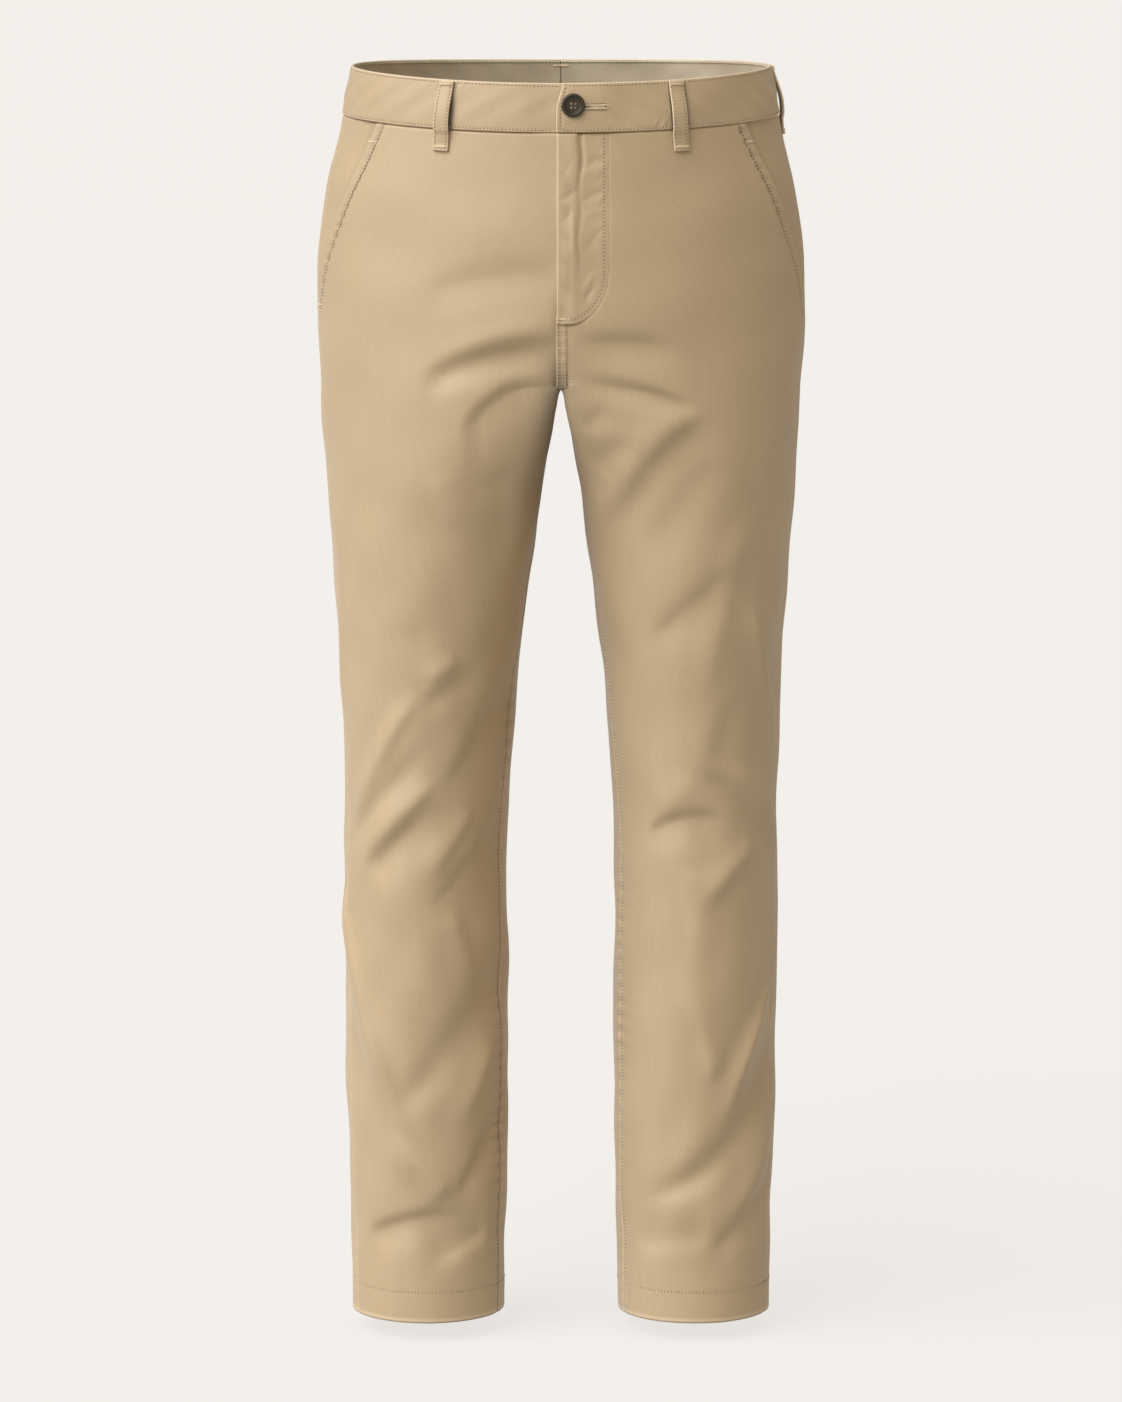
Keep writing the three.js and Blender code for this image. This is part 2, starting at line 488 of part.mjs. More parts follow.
function solidFrom(geometry) {
  const bare = geometry.clone();
  bare.deleteAttribute("normal");
  bare.deleteAttribute("uv");
  const merged = mergeVertices(bare, 1e-4);
  const solid = new wasm.Mesh({
    numProp: 3,
    vertProperties: merged.attributes.position.array,
    triVerts: new Uint32Array(merged.index.array),
  });
  return new wasm.Manifold(solid);
}

let buttonSolid = solidFrom(new THREE.LatheGeometry(BUTTON_PROFILE, 36));
for (let i = 0; i < 4; i++) {
  const drill = new THREE.CylinderGeometry(BUTTON_HOLE, BUTTON_HOLE, 10, 10);
  const turn = (i * Math.PI) / 2;
  drill.translate(BUTTON_HOLE_OUT * Math.cos(turn), 1, BUTTON_HOLE_OUT * Math.sin(turn));
  buttonSolid = buttonSolid.subtract(solidFrom(drill));
}
const cut = buttonSolid.getMesh();
const buttonGeometry = new THREE.BufferGeometry();
buttonGeometry.setAttribute("position", new THREE.BufferAttribute(cut.vertProperties, 3));
buttonGeometry.setIndex(new THREE.BufferAttribute(cut.triVerts, 1));
buttonGeometry.computeVertexNormals();
const button = new THREE.Mesh(buttonGeometry, horn);
button.name = "waist_button";
const seatAngle = acrossAngle(BUTTON_X);
const seat = waistPoint(seatAngle, BUTTON_HEIGHT, BAND_PROUD + LAP_SHIFT + SEAM_GAP);
const seatNormal = waistPoint(seatAngle, BUTTON_HEIGHT, 5).sub(waistPoint(seatAngle, BUTTON_HEIGHT, 0));
seatNormal.normalize();
button.position.copy(seat);
button.quaternion.setFromUnitVectors(new THREE.Vector3(0, 1, 0), seatNormal);
garment.add(button);

export default garment;
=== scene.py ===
# Chino trousers in khaki cotton twill, filled out as when worn and hanging from the waist.
# Metres, +Z up. The front faces -Y and the wearer's left side is at +X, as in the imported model.
import math

import bmesh
import bpy
import numpy as np
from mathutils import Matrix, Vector
from mathutils.bvhtree import BVHTree


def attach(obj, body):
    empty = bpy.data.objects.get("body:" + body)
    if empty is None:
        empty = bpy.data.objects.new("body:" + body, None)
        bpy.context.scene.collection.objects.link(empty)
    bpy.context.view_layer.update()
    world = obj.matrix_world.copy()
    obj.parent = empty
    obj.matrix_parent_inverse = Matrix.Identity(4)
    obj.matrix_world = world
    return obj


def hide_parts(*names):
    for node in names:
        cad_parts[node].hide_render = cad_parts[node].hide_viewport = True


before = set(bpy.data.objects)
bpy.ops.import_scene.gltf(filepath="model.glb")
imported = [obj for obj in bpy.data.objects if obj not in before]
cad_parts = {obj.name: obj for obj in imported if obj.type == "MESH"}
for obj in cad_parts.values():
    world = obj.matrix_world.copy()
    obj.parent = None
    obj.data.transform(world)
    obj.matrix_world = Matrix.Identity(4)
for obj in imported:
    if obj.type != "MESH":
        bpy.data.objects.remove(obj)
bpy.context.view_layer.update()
bpy.ops.object.select_all(action="DESELECT")

# Fronts and backs: four panels cut from cotton twill and sewn down the sides, the inside legs and the
# middle. They are built on the form that the cut gives when it is filled out, with the folds it falls into.
CROTCH = -0.224
HEM_TOP = -0.942
HEM_FOOT = -0.9675
BAND_TOP = 0.020
BAND_FOOT = -0.017
SEAM_GAP = 0.0001
TWILL = 0.0012
HEM_TWILL = 0.0022

# The rim is lower at the front than at the back, and that tilt is gone at hip height.
RIM_TILT = 0.0085
RIM_SAG = 0.0045
RIM_LEVEL_FROM = -0.200

# One leg's outline at each height is an ellipse between outer and inner, held outside the gap between the
# legs with a soft corner. front and back are how far it reaches, and mid is where it is widest.
SECTION_HEADS = ("height", "outer", "inner", "gap", "soft", "front", "back", "mid")
SECTIONS = (
    (0.024, 0.1606, -0.1606, 0, 0, -0.111, 0.111, 0),
    (0, 0.1654, -0.1654, 0, 0, -0.113, 0.115, 0),
    (-0.030, 0.1712, -0.1712, 0, 0, -0.115, 0.120, 0),
    (-0.076, 0.1821, -0.1821, 0, 0, -0.118, 0.128, 0.001),
    (-0.123, 0.1883, -0.179, 0, 0, -0.119, 0.134, 0.003),
    (-0.165, 0.1901, -0.157, 0, 0, -0.118, 0.135, 0.004),
    (-0.200, 0.1892, -0.122, 0, 0.002, -0.115, 0.131, 0.004),
    (-0.224, 0.1878, -0.0932, 0, 0.006, -0.1126, 0.1250, 0.004),
    (-0.2275, 0.1876, -0.0890, 0.0016, 0.007, -0.1123, 0.1241, 0.0038),
    (-0.238, 0.1871, -0.0764, 0.0034, 0.011, -0.1112, 0.1211, 0.0034),
    (-0.250, 0.1864, -0.062, 0.006, 0.014, -0.110, 0.118, 0.003),
    (-0.275, 0.1846, -0.034, 0.0106, 0.017, -0.107, 0.111, 0.003),
    (-0.302, 0.1832, -0.010, 0.0146, 0.017, -0.103, 0.105, 0.002),
    (-0.357, 0.1793, 0.0124, 0.0216, 0.013, -0.097, 0.098, 0.001),
    (-0.436, 0.1742, 0.0304, 0.0304, 0.005, -0.088, 0.090, 0.001),
    (-0.516, 0.1712, 0.0382, 0.0382, 0, -0.079, 0.082, 0.002),
    (-0.556, 0.1708, 0.0416, 0.0416, 0, -0.075, 0.079, 0.003),
    (-0.636, 0.1714, 0.0422, 0.0422, 0, -0.069, 0.077, 0.005),
    (-0.757, 0.171, 0.042, 0.042, 0, -0.061, 0.073, 0.007),
    (-0.840, 0.1692, 0.043, 0.043, 0, -0.056, 0.069, 0.008),
    (-0.912, 0.1673, 0.0448, 0.0448, 0, -0.051, 0.064, 0.008),
    (-0.970, 0.1668, 0.0456, 0.0456, 0, -0.050, 0.062, 0.007),
)

# The middle seam runs straight down to FORK_START and then curves under to the crotch.
FORK_START = -0.160
FORK_SQUARE = 3.2
FORK_ROUND = 0.55

# Where the seams run, in degrees in front of the leg's widest points, and the slanted pocket mouth.
SEAM_HEADS = ("height", "side", "inside")
SEAMS = ((0.024, 6, 0), (-0.226, 8, 0), (-0.330, 11, 10), (-0.540, 19, 21), (-0.970, 22, 23))
POCKET_FOOT = -0.172
MOUTH_HEADS = ("height", "angle")
MOUTH = ((0, 35), (-0.017, 33.5), (-0.060, 27.5), (-0.105, 20.5), (-0.150, 12), (POCKET_FOOT, 7.6))


def ramp(value, start, end):
    """Smooth step from 0 at start to 1 at end."""
    t = np.clip((value - start) / (end - start), 0, 1)
    return t * t * (3 - 2 * t)


def mix(low, high, share):
    """From low at share 0 to high at share 1."""
    return low + (high - low) * share


def bell(distance, width):
    """A smooth bump: 1 at distance 0, and almost gone two widths away on either side."""
    return np.exp(-((distance / width) ** 2))


def column(table, heads, name, height):
    """A column of a table of heights, read along a smooth curve through its rows."""
    rows = np.array(table, dtype=float)[::-1]
    at, values = rows[:, 0], rows[:, heads.index(name)]
    slope = np.gradient(values)
    slope[1:-1] = (values[2:] - values[:-2]) / (at[2:] - at[:-2])
    slope[0] = (values[1] - values[0]) / (at[1] - at[0])
    slope[-1] = (values[-1] - values[-2]) / (at[-1] - at[-2])
    i = np.clip(np.searchsorted(at, height) - 1, 0, len(at) - 2)
    span = at[i + 1] - at[i]
    t = np.clip((height - at[i]) / span, 0, 1)
    low = (2 * t**3 - 3 * t**2 + 1) * values[i] + (t**3 - 2 * t**2 + t) * span * slope[i]
    return low + (3 * t**2 - 2 * t**3) * values[i + 1] + (t**3 - t**2) * span * slope[i + 1]


def section(height):
    """The ellipse of one leg and, above the crotch, the angle of its seam towards the other leg."""
    height = np.asarray(height, dtype=float)
    outer, inner, mid, front, back, gap, soft = (
        column(SECTIONS, SECTION_HEADS, name, height)
        for name in ("outer", "inner", "mid", "front", "back", "gap", "soft")
    )
    centre, half = (outer + inner) / 2, (outer - inner) / 2
    above = height > CROTCH
    curved = np.clip((FORK_START - height) / (FORK_START - CROTCH), 0, 1)
    level = np.sqrt(1 - (centre / half).clip(-1, 1) ** 2) * (1 - curved**FORK_SQUARE) ** FORK_ROUND
    past = np.maximum(0, half * np.sqrt(1 - level**2) - centre)
    soft = np.maximum(0, soft)
    return {
        "centre": centre,
        "half": half,
        "mid": mid,
        "forwards": mid - front,
        "backwards": back - mid,
        "gap": np.where(above, 0, np.maximum(0, gap)),
        "soft": np.where(above, np.minimum(soft, past), soft),
        "seam": np.where(above, 180 - np.degrees(np.arcsin(level)), 180),
    }


def form(leg, angle, height):
    """The plain form with no folds. 0 degrees is a leg's outer side, 90 its front and 270 its back."""
    angle, height = np.broadcast_arrays(np.asarray(angle, float), np.asarray(height, float))
    s = section(height)
    turn = np.radians(angle)
    sine = np.sin(turn)
    x = s["centre"] + s["half"] * np.cos(turn)
    y = s["mid"] - sine * np.where(sine > 0, s["forwards"], s["backwards"])
    past = x - s["gap"]
    soft = np.maximum(s["soft"], 1e-9)
    rounded = s["gap"] + (past + soft) ** 2 / (4 * soft)
    held = np.where(past >= soft, x, np.where(past <= -soft, s["gap"], rounded))
    x = np.where(height < FORK_START, held, x)
    tilt = (-RIM_TILT * sine - RIM_SAG * sine**2) * ramp(height, RIM_LEVEL_FROM, BAND_FOOT)
    return np.stack([leg * x, y, height + tilt], axis=-1)


def outwards(leg, angle, height):
    """The direction square to the plain form."""
    turn, rise = 0.4, 0.0008
    across = form(leg, angle + turn, height) - form(leg, angle - turn, height)
    along = form(leg, angle, height + rise) - form(leg, angle, height - rise)
    return straight(np.cross(along, across) * leg)


def straight(vectors):
    """Vectors of length 1."""
    return vectors / np.maximum(np.linalg.norm(vectors, axis=-1, keepdims=True), 1e-12)


# Folds of the wearer's left and right legs, front ones first: from one angle and height to another, with a
# depth (a ridge has a negative one), half widths above and below its line, how far its middle bows up, and
# the share of its width that it starts with. Cloth buckles from a sharp tip and widens away from it.
FOLDS = {
    1: (
        (93, -0.191, 70, -0.194, 0.0040, 0.009, 0.018, 0.002, 1),
        (70, -0.238, 100, -0.220, 0.0045, 0.007, 0.014, 0.003, 0.5),
        (112, -0.254, 99, -0.238, 0.0022, 0.006, 0.010, 0, 0.6),
        (120, -0.286, 95, -0.266, 0.0028, 0.010, 0.018, 0.002, 0.7),
        (71, -0.242, 124, -0.318, -0.0046, 0.015, 0.010, 0.003, 0.7),
        (69, -0.252, 138, -0.350, 0.0030, 0.010, 0.022, 0.004, 0.7),
        (68, -0.282, 110, -0.354, 0.0026, 0.014, 0.018, 0.002, 0.7),
        (57, -0.330, 86, -0.462, -0.0030, 0.015, 0.012, 0, 0.8),
        (113, -0.417, 60, -0.364, 0.0034, 0.012, 0.024, 0, 0.5),
        (41, -0.285, 25, -0.400, -0.0016, 0.006, 0.006, 0, 1),
        (52, -0.394, 20, -0.512, -0.0038, 0.006, 0.010, -0.003, 0.8),
        (78, -0.516, 60, -0.468, 0.0022, 0.014, 0.020, 0, 0.6),
        (61, -0.520, 16, -0.584, -0.0034, 0.006, 0.010, 0.004, 0.8),
        (85, -0.522, 24, -0.592, 0.0040, 0.009, 0.012, 0.002, 0.5),
        (126, -0.574, 74, -0.563, 0.0056, 0.009, 0.026, 0.007, 0.6),
        (116, -0.552, 92, -0.528, -0.0022, 0.014, 0.010, 0, 1),
        (48, -0.580, 84, -0.622, -0.0034, 0.012, 0.008, 0, 0.8),
        (83, -0.640, 38, -0.598, 0.0026, 0.014, 0.050, 0, 0.6),
        (96, -0.600, 88, -0.676, -0.0022, 0.014, 0.012, 0, 0.8),
        (76, -0.768, 92, -0.700, -0.0030, 0.012, 0.010, 0, 0.6),
        (77, -0.774, 28, -0.690, 0.0018, 0.012, 0.014, 0.002, 0.6),
        (22, -0.690, 66, -0.792, -0.0034, 0.007, 0.007, 0.003, 0.8),
        (119, -0.866, 20, -0.726, 0.0078, 0.020, 0.020, -0.023, 0.5),
        (22, -0.812, 70, -0.884, -0.0034, 0.013, 0.011, -0.006, 0.8),
        (74, -0.908, 20, -0.862, 0.0042, 0.012, 0.022, 0, 0.4),
        (82, -0.896, 138, -0.903, 0.0026, 0.016, 0.012, 0, 0.8),
        (196, -0.262, 268, -0.286, 0.0045, 0.008, 0.016, -0.004, 0.5),
        (208, -0.300, 300, -0.322, 0.0034, 0.010, 0.018, -0.005, 0.5),
        (335, -0.250, 290, -0.292, -0.0030, 0.014, 0.014, 0, 0.7),
        (338, -0.470, 262, -0.520, 0.0044, 0.010, 0.016, 0, 0.45),
        (200, -0.505, 272, -0.548, 0.0052, 0.009, 0.015, 0, 0.45),
        (330, -0.540, 255, -0.585, -0.0036, 0.012, 0.009, 0, 0.7),
        (212, -0.590, 300, -0.640, 0.0044, 0.009, 0.016, 0.004, 0.45),
        (335, -0.690, 240, -0.770, 0.0060, 0.015, 0.013, 0, 0.4),
        (205, -0.800, 285, -0.850, -0.0032, 0.010, 0.014, 0, 0.7),
        (320, -0.850, 225, -0.900, 0.0040, 0.010, 0.012, 0, 0.4),
    ),
    -1: (
        (60, -0.150, 96, -0.134, 0.0020, 0.014, 0.022, 0.006, 0.8),
        (67, -0.217, 99, -0.198, 0.0056, 0.012, 0.018, 0.007, 0.7),
        (70, -0.200, 100, -0.178, -0.0020, 0.012, 0.010, 0.006, 1),
        (87, -0.256, 107, -0.224, 0.0052, 0.009, 0.044, 0.013, 0.7),
        (84, -0.292, 98, -0.330, -0.0018, 0.014, 0.010, 0, 1),
        (112, -0.286, 126, -0.350, 0.0018, 0.010, 0.030, 0, 0.6),
        (26, -0.320, 14, -0.500, -0.0020, 0.007, 0.007, 0, 1),
        (62, -0.420, 92, -0.416, 0.0014, 0.014, 0.022, 0, 1),
        (90, -0.470, 120, -0.444, 0.0024, 0.009, 0.012, 0, 0.7),
        (107, -0.434, 90, -0.450, -0.0022, 0.010, 0.008, 0, 0.7),
        (107, -0.536, 156, -0.450, 0.0052, 0.016, 0.034, 0, 0.5),
        (81, -0.466, 35, -0.562, -0.0036, 0.012, 0.009, 0.002, 0.7),
        (29, -0.580, 90, -0.502, 0.0026, 0.010, 0.010, -0.002, 0.7),
        (95, -0.532, 42, -0.600, -0.0038, 0.013, 0.009, 0.001, 0.7),
        (48, -0.602, 104, -0.554, 0.0048, 0.012, 0.028, 0.003, 0.6),
        (123, -0.556, 92, -0.606, -0.0034, 0.014, 0.008, 0, 0.7),
        (98, -0.632, 152, -0.570, 0.0050, 0.013, 0.060, 0, 0.6),
        (14, -0.628, 72, -0.806, -0.0060, 0.008, 0.014, 0.001, 0.8),
        (110, -0.636, 124, -0.690, -0.0020, 0.010, 0.012, 0, 0.8),
        (76, -0.790, 153, -0.690, 0.0072, 0.024, 0.026, 0.002, 0.4),
        (144, -0.744, 116, -0.804, -0.0030, 0.012, 0.009, 0, 0.7),
        (114, -0.864, 156, -0.798, 0.0048, 0.010, 0.020, 0, 0.4),
        (105, -0.862, 70, -0.820, -0.0038, 0.008, 0.016, 0, 0.9),
        (45, -0.899, 114, -0.882, 0.0054, 0.009, 0.024, 0.005, 0.6),
        (138, -0.894, 92, -0.918, 0.0038, 0.020, 0.009, 0, 0.6),
        (142, -0.868, 140, -0.916, -0.0012, 0.008, 0.008, 0, 0.8),
        (198, -0.268, 262, -0.280, 0.0050, 0.008, 0.014, -0.003, 0.5),
        (340, -0.262, 250, -0.318, 0.0034, 0.012, 0.014, -0.006, 0.5),
        (215, -0.345, 285, -0.372, -0.0025, 0.014, 0.016, 0, 0.8),
        (204, -0.478, 290, -0.512, 0.0044, 0.010, 0.015, 0, 0.45),
        (332, -0.500, 250, -0.556, 0.0054, 0.010, 0.013, 0, 0.45),
        (215, -0.570, 300, -0.600, -0.0036, 0.009, 0.014, 0.004, 0.7),
        (338, -0.612, 268, -0.668, 0.0044, 0.012, 0.012, 0, 0.45),
        (200, -0.700, 300, -0.790, 0.0062, 0.014, 0.014, 0, 0.4),
        (330, -0.815, 260, -0.845, -0.0032, 0.009, 0.012, 0, 0.7),
        (212, -0.868, 298, -0.892, 0.0040, 0.008, 0.014, 0.003, 0.4),
    ),
}
MIDDLE_FADE = (0.001, 0.008)
BAND_FADE = 0.050
HEM_FADE = 0.040
HEM_SHARE = 0.30
SWAY = 0.00045


def fold_height(fold, angle, height):
    """How far one fold moves the cloth outwards."""
    from_angle, from_height, to_angle, to_height, depth, above, below, bow, tip = fold
    s = section((from_height + to_height) / 2)
    per_degree = math.radians((s["half"] + (s["forwards"] + s["backwards"]) / 2) / 2)
    end_x, end_z = (to_angle - from_angle) * per_degree, to_height - from_height
    x = ((angle - from_angle + 180) % 360 - 180) * per_degree
    z = height - from_height
    length = math.hypot(end_x, end_z)
    along = (x * end_x + z * end_z) / length**2
    side = (x * end_z - z * end_x) / length * (-1 if end_x > 0 else 1)
    bowed = side - bow * 4 * along * (1 - along)
    widening = mix(tip, 1, np.clip(along, 0, 1) ** 0.8)
    width = np.where(bowed > 0, above, below) * widening
    start = 0.25 if tip == 1 else 0.10
    lengthways = ramp(along, -start, start + 0.06) * (1 - ramp(along, 0.6, 1.2))
    return -depth * widening * lengthways * bell(bowed, width)


def relief(leg, angle, height):
    """The folds and the cloth's slight sway, fading near the middle seam, the waistband and in the hem."""
    x = np.abs(form(leg, angle, height)[..., 0])
    joined = ramp(height, CROTCH - 0.070, CROTCH - 0.020)
    between = mix(1, ramp(x, *MIDDLE_FADE), joined)
    hem = mix(HEM_SHARE, 1, ramp(height, HEM_TOP, HEM_TOP + HEM_FADE))
    top = 1 - ramp(height, BAND_FOOT - BAND_FADE, BAND_FOOT)
    folds = sum(fold_height(fold, angle, height) for fold in FOLDS[leg])
    turn = np.radians(angle)
    sway = np.sin(5 * turn + 38 * height + leg) + 0.7 * np.sin(8 * turn - 61 * height + 2 * leg)
    sway = sway + 0.6 * np.sin(3 * turn + 95 * height + 0.6) + 0.4 * np.sin(13 * turn + 47 * height)
    return (folds + SWAY * sway) * between * hem * top


def above(leg, angle, height, lift):
    """A point lift outside the cloth's face."""
    raised = np.asarray(relief(leg, angle, height) + lift)[..., None]
    return form(leg, angle, height) + outwards(leg, angle, height) * raised


def cloth_point(leg, angle, height, lift):
    """The same for a leg's own panels, which never cross the middle of the garment."""
    p = above(leg, angle, height, lift)
    p[..., 0] = leg * np.maximum(SEAM_GAP / 2, leg * p[..., 0])
    return p


def distance_along(points):
    """How far each point of a path lies from its start. Rows of a grid are paths of their own."""
    reach = np.cumsum(np.linalg.norm(np.diff(points, axis=-2), axis=-1), axis=-1)
    return np.concatenate([np.zeros(reach.shape[:-1] + (1,)), reach], axis=-1)


def ripple(along, spacing, seed):
    """An uneven wave along a seam, with about one pucker for each spacing."""
    drift = 1.9 * np.sin(along / (spacing * 2.7) + seed) + 1.3 * np.sin(along / (spacing * 6.1) + seed * 2.3)
    swell = 0.6 + 0.4 * np.sin(along / (spacing * 4.3) + seed * 1.7)
    return swell * np.sin(2 * math.pi * along / spacing + drift)


def rolled(distance, radius):
    """How far a folded edge has rolled in, at a distance from it."""
    inside = np.clip(1 - distance / radius, 0, 1)
    return radius * (1 - np.sqrt(1 - inside**2))


def shell(name, outer, inner, flat, masks, materials):
    """A closed cloth piece from the grids of its two faces. flat is where each point lies on the cloth, and
    masks shade its two faces alike, or by a pair of grids for the outer and the inner one."""
    rows, columns = outer.shape[:2]
    count = rows * columns
    index = np.arange(count).reshape(rows, columns)
    corners = index[:-1, :-1], index[1:, :-1], index[1:, 1:], index[:-1, 1:]
    quads = np.stack(corners, axis=-1).reshape(-1, 4)
    loop = np.concatenate([index[0, :-1], index[:-1, -1], index[-1, :0:-1], index[:0:-1, 0]])
    after = np.roll(loop, -1)
    rim = np.stack([loop, after, after + count, loop + count], axis=-1)
    faces = np.concatenate([quads, quads[:, ::-1] + count, rim])
    mesh = bpy.data.meshes.new(name)
    mesh.from_pydata(np.concatenate([outer, inner]).reshape(-1, 3).tolist(), [], faces.tolist())
    for material in materials:
        mesh.materials.append(material)
    reverse = np.zeros(len(faces), dtype=np.int32)
    reverse[len(quads) : 2 * len(quads)] = len(materials) - 1
    mesh.polygons.foreach_set("material_index", reverse)
    mesh.polygons.foreach_set("use_smooth", np.ones(len(faces), dtype=bool))
    corners = np.empty(len(mesh.loops), dtype=np.int32)
    mesh.loops.foreach_get("vertex_index", corners)
    where = flat.reshape(-1, 2)[corners % count]
    mesh.uv_layers.new(name="cloth").data.foreach_set("uv", where.ravel())
    for mask, values in masks.items():
        over, under = values if isinstance(values, tuple) else (values, values)
        both = np.concatenate([over.ravel(), under.ravel()]).astype(np.float32)
        mesh.attributes.new(mask, "FLOAT", "POINT").data.foreach_set("value", both)
    piece = bpy.data.objects.new(name, mesh)
    bpy.context.collection.objects.link(piece)
    face_out(piece)
    return piece


def face_out(piece):
    """Turn a closed piece's faces outwards."""
    shape = bmesh.new()
    shape.from_mesh(piece.data)
    if shape.calc_volume(signed=True) < 0:
        bmesh.ops.reverse_faces(shape, faces=shape.faces)
    shape.to_mesh(piece.data)
    shape.free()


def node_group(name, inputs, outputs):
    """An empty shader group with named sockets, and its input and output nodes."""
    group = bpy.data.node_groups.new(name, "ShaderNodeTree")
    for socket, kind, default in inputs:
        made = group.interface.new_socket(socket, in_out="INPUT", socket_type=kind)
        if default is not None:
            made.default_value = default
    for socket, kind in outputs:
        group.interface.new_socket(socket, in_out="OUTPUT", socket_type=kind)
    return group, group.nodes.new("NodeGroupInput"), group.nodes.new("NodeGroupOutput")


def math_node(tree, operation, first, second=None, third=None, clamp=False):
    """A Math node; each operand is a number or a socket."""
    node = tree.nodes.new("ShaderNodeMath")
    node.operation = operation
    node.use_clamp = clamp
    for socket, operand in zip(node.inputs, (first, second, third)):
        if isinstance(operand, bpy.types.NodeSocket):
            tree.links.new(operand, socket)
        elif operand is not None:
            socket.default_value = operand
    return node.outputs[0]


def noise_node(tree, vector, scale, detail, stretch=(1, 1, 1)):
    """Noise read at a vector, stretched along its axes. Gives its value."""
    mapping = tree.nodes.new("ShaderNodeMapping")
    mapping.inputs["Scale"].default_value = stretch
    noise = tree.nodes.new("ShaderNodeTexNoise")
    noise.inputs["Scale"].default_value = scale
    noise.inputs["Detail"].default_value = detail
    tree.links.new(vector, mapping.inputs["Vector"])
    tree.links.new(mapping.outputs["Vector"], noise.inputs["Vector"])
    return noise.outputs["Fac"]


def new_material(name, plain):
    """A material whose shader has the given plain values. Gives it, its node tree and its shader."""
    material = bpy.data.materials.new(name)
    material.use_nodes = True
    surface = material.node_tree.nodes["Principled BSDF"]
    for socket, value in plain.items():
        surface.inputs[socket].default_value = value
    return material, material.node_tree, surface


def blend_node(tree, share, first, second):
    """A Mix node from one colour to another; each is a colour or a socket. Gives the colour."""
    blend = tree.nodes.new("ShaderNodeMix")
    blend.data_type = "RGBA"
    for name, colour in (("A", first), ("B", second)):
        if isinstance(colour, bpy.types.NodeSocket):
            tree.links.new(colour, blend.inputs[name])
        else:
            blend.inputs[name].default_value = colour
    tree.links.new(share, blend.inputs[0])
    return blend.outputs["Result"]


def raise_surface(tree, surface, height, strength, distance):
    """Give a shader's surface a fine relief."""
    bump = tree.nodes.new("ShaderNodeBump")
    bump.inputs["Strength"].default_value = strength
    bump.inputs["Distance"].default_value = distance
    tree.links.new(height, bump.inputs["Height"])
    tree.links.new(bump.outputs["Normal"], surface.inputs["Normal"])


def twill_weave():
    """Slanting twill ribs of fine yarns, from the cloth's own map in metres."""
    group, taken, given = node_group(
        "Twill weave",
        [("Cloth", "NodeSocketVector", None), ("Rib", "NodeSocketFloat", 0.0007)],
        [("Height", "NodeSocketFloat"), ("Yarn", "NodeSocketFloat")],
    )
    split = group.nodes.new("ShaderNodeSeparateXYZ")
    group.links.new(taken.outputs["Cloth"], split.inputs[0])
    uneven = noise_node(group, taken.outputs["Cloth"], 900, 2, (1, 0.25, 1))
    slant = math_node(group, "MULTIPLY_ADD", split.outputs["Y"], -0.55, split.outputs["X"])
    turns = math_node(group, "DIVIDE", slant, taken.outputs["Rib"])
    wobble = math_node(group, "MULTIPLY_ADD", uneven, 0.9, turns)
    ribs = math_node(group, "SINE", math_node(group, "MULTIPLY", wobble, 2 * math.pi))
    crossing = math_node(group, "DIVIDE", split.outputs["Y"], taken.outputs["Rib"])
    yarns = math_node(group, "SINE", math_node(group, "MULTIPLY", crossing, 4 * math.pi))
    body = math_node(group, "MULTIPLY_ADD", ribs, 0.35, 0.5)
    group.links.new(math_node(group, "MULTIPLY_ADD", yarns, 0.08, body), given.inputs["Height"])
    group.links.new(uneven, given.inputs["Yarn"])
    return group


def cloth_tone_wear_and_painted_light():
    """The cloth's uneven dyeing: soft clouds and slubs along the warp; paler edges, partly wear and partly
    painted highlight; and painted shade, which darkens the colour by its own mask.
    """
    group, taken, given = node_group(
        "Washed tone, wear and painted light",
        [
            ("Cloth", "NodeSocketVector", None),
            ("Place", "NodeSocketVector", None),
            ("Colour", "NodeSocketColor", (0.5, 0.35, 0.2, 1)),
            ("Rubbed and highlit", "NodeSocketColor", (0.7, 0.55, 0.38, 1)),
            ("Edge", "NodeSocketFloat", 0.0),
            ("Painted_shade", "NodeSocketFloat", 0.0),
            ("Yarn", "NodeSocketFloat", 0.5),
        ],
        [("Colour", "NodeSocketColor")],
    )
    clouds = noise_node(group, taken.outputs["Place"], 9, 3)
    slubs = noise_node(group, taken.outputs["Cloth"], 260, 3, (1, 0.08, 1))
    cloudy = math_node(group, "MULTIPLY_ADD", clouds, 0.10, 0.95)
    slubby = math_node(group, "MULTIPLY_ADD", slubs, 0.10, 0.95)
    yarny = math_node(group, "MULTIPLY_ADD", taken.outputs["Yarn"], 0.12, 0.94)
    # Painted shade: its mask darkens the colour in creases, grooves, hollows and shadows.
    shaded = math_node(group, "MULTIPLY_ADD", taken.outputs["Painted_shade"], -0.42, 1)
    strength = math_node(group, "MULTIPLY", math_node(group, "MULTIPLY", cloudy, slubby), yarny)
    strength = math_node(group, "MULTIPLY", strength, shaded)
    # Paler edges, partly wear and partly painted highlight.
    wear_and_highlight_share = math_node(group, "MULTIPLY", taken.outputs["Edge"], 0.75, clamp=True)
    edged = blend_node(group, wear_and_highlight_share, taken.outputs["Colour"], taken.outputs["Rubbed and highlit"])
    scaled = group.nodes.new("ShaderNodeVectorMath")
    scaled.operation = "SCALE"
    group.links.new(edged, scaled.inputs[0])
    group.links.new(strength, scaled.inputs["Scale"])
    group.links.new(scaled.outputs[0], given.inputs["Colour"])
    return group


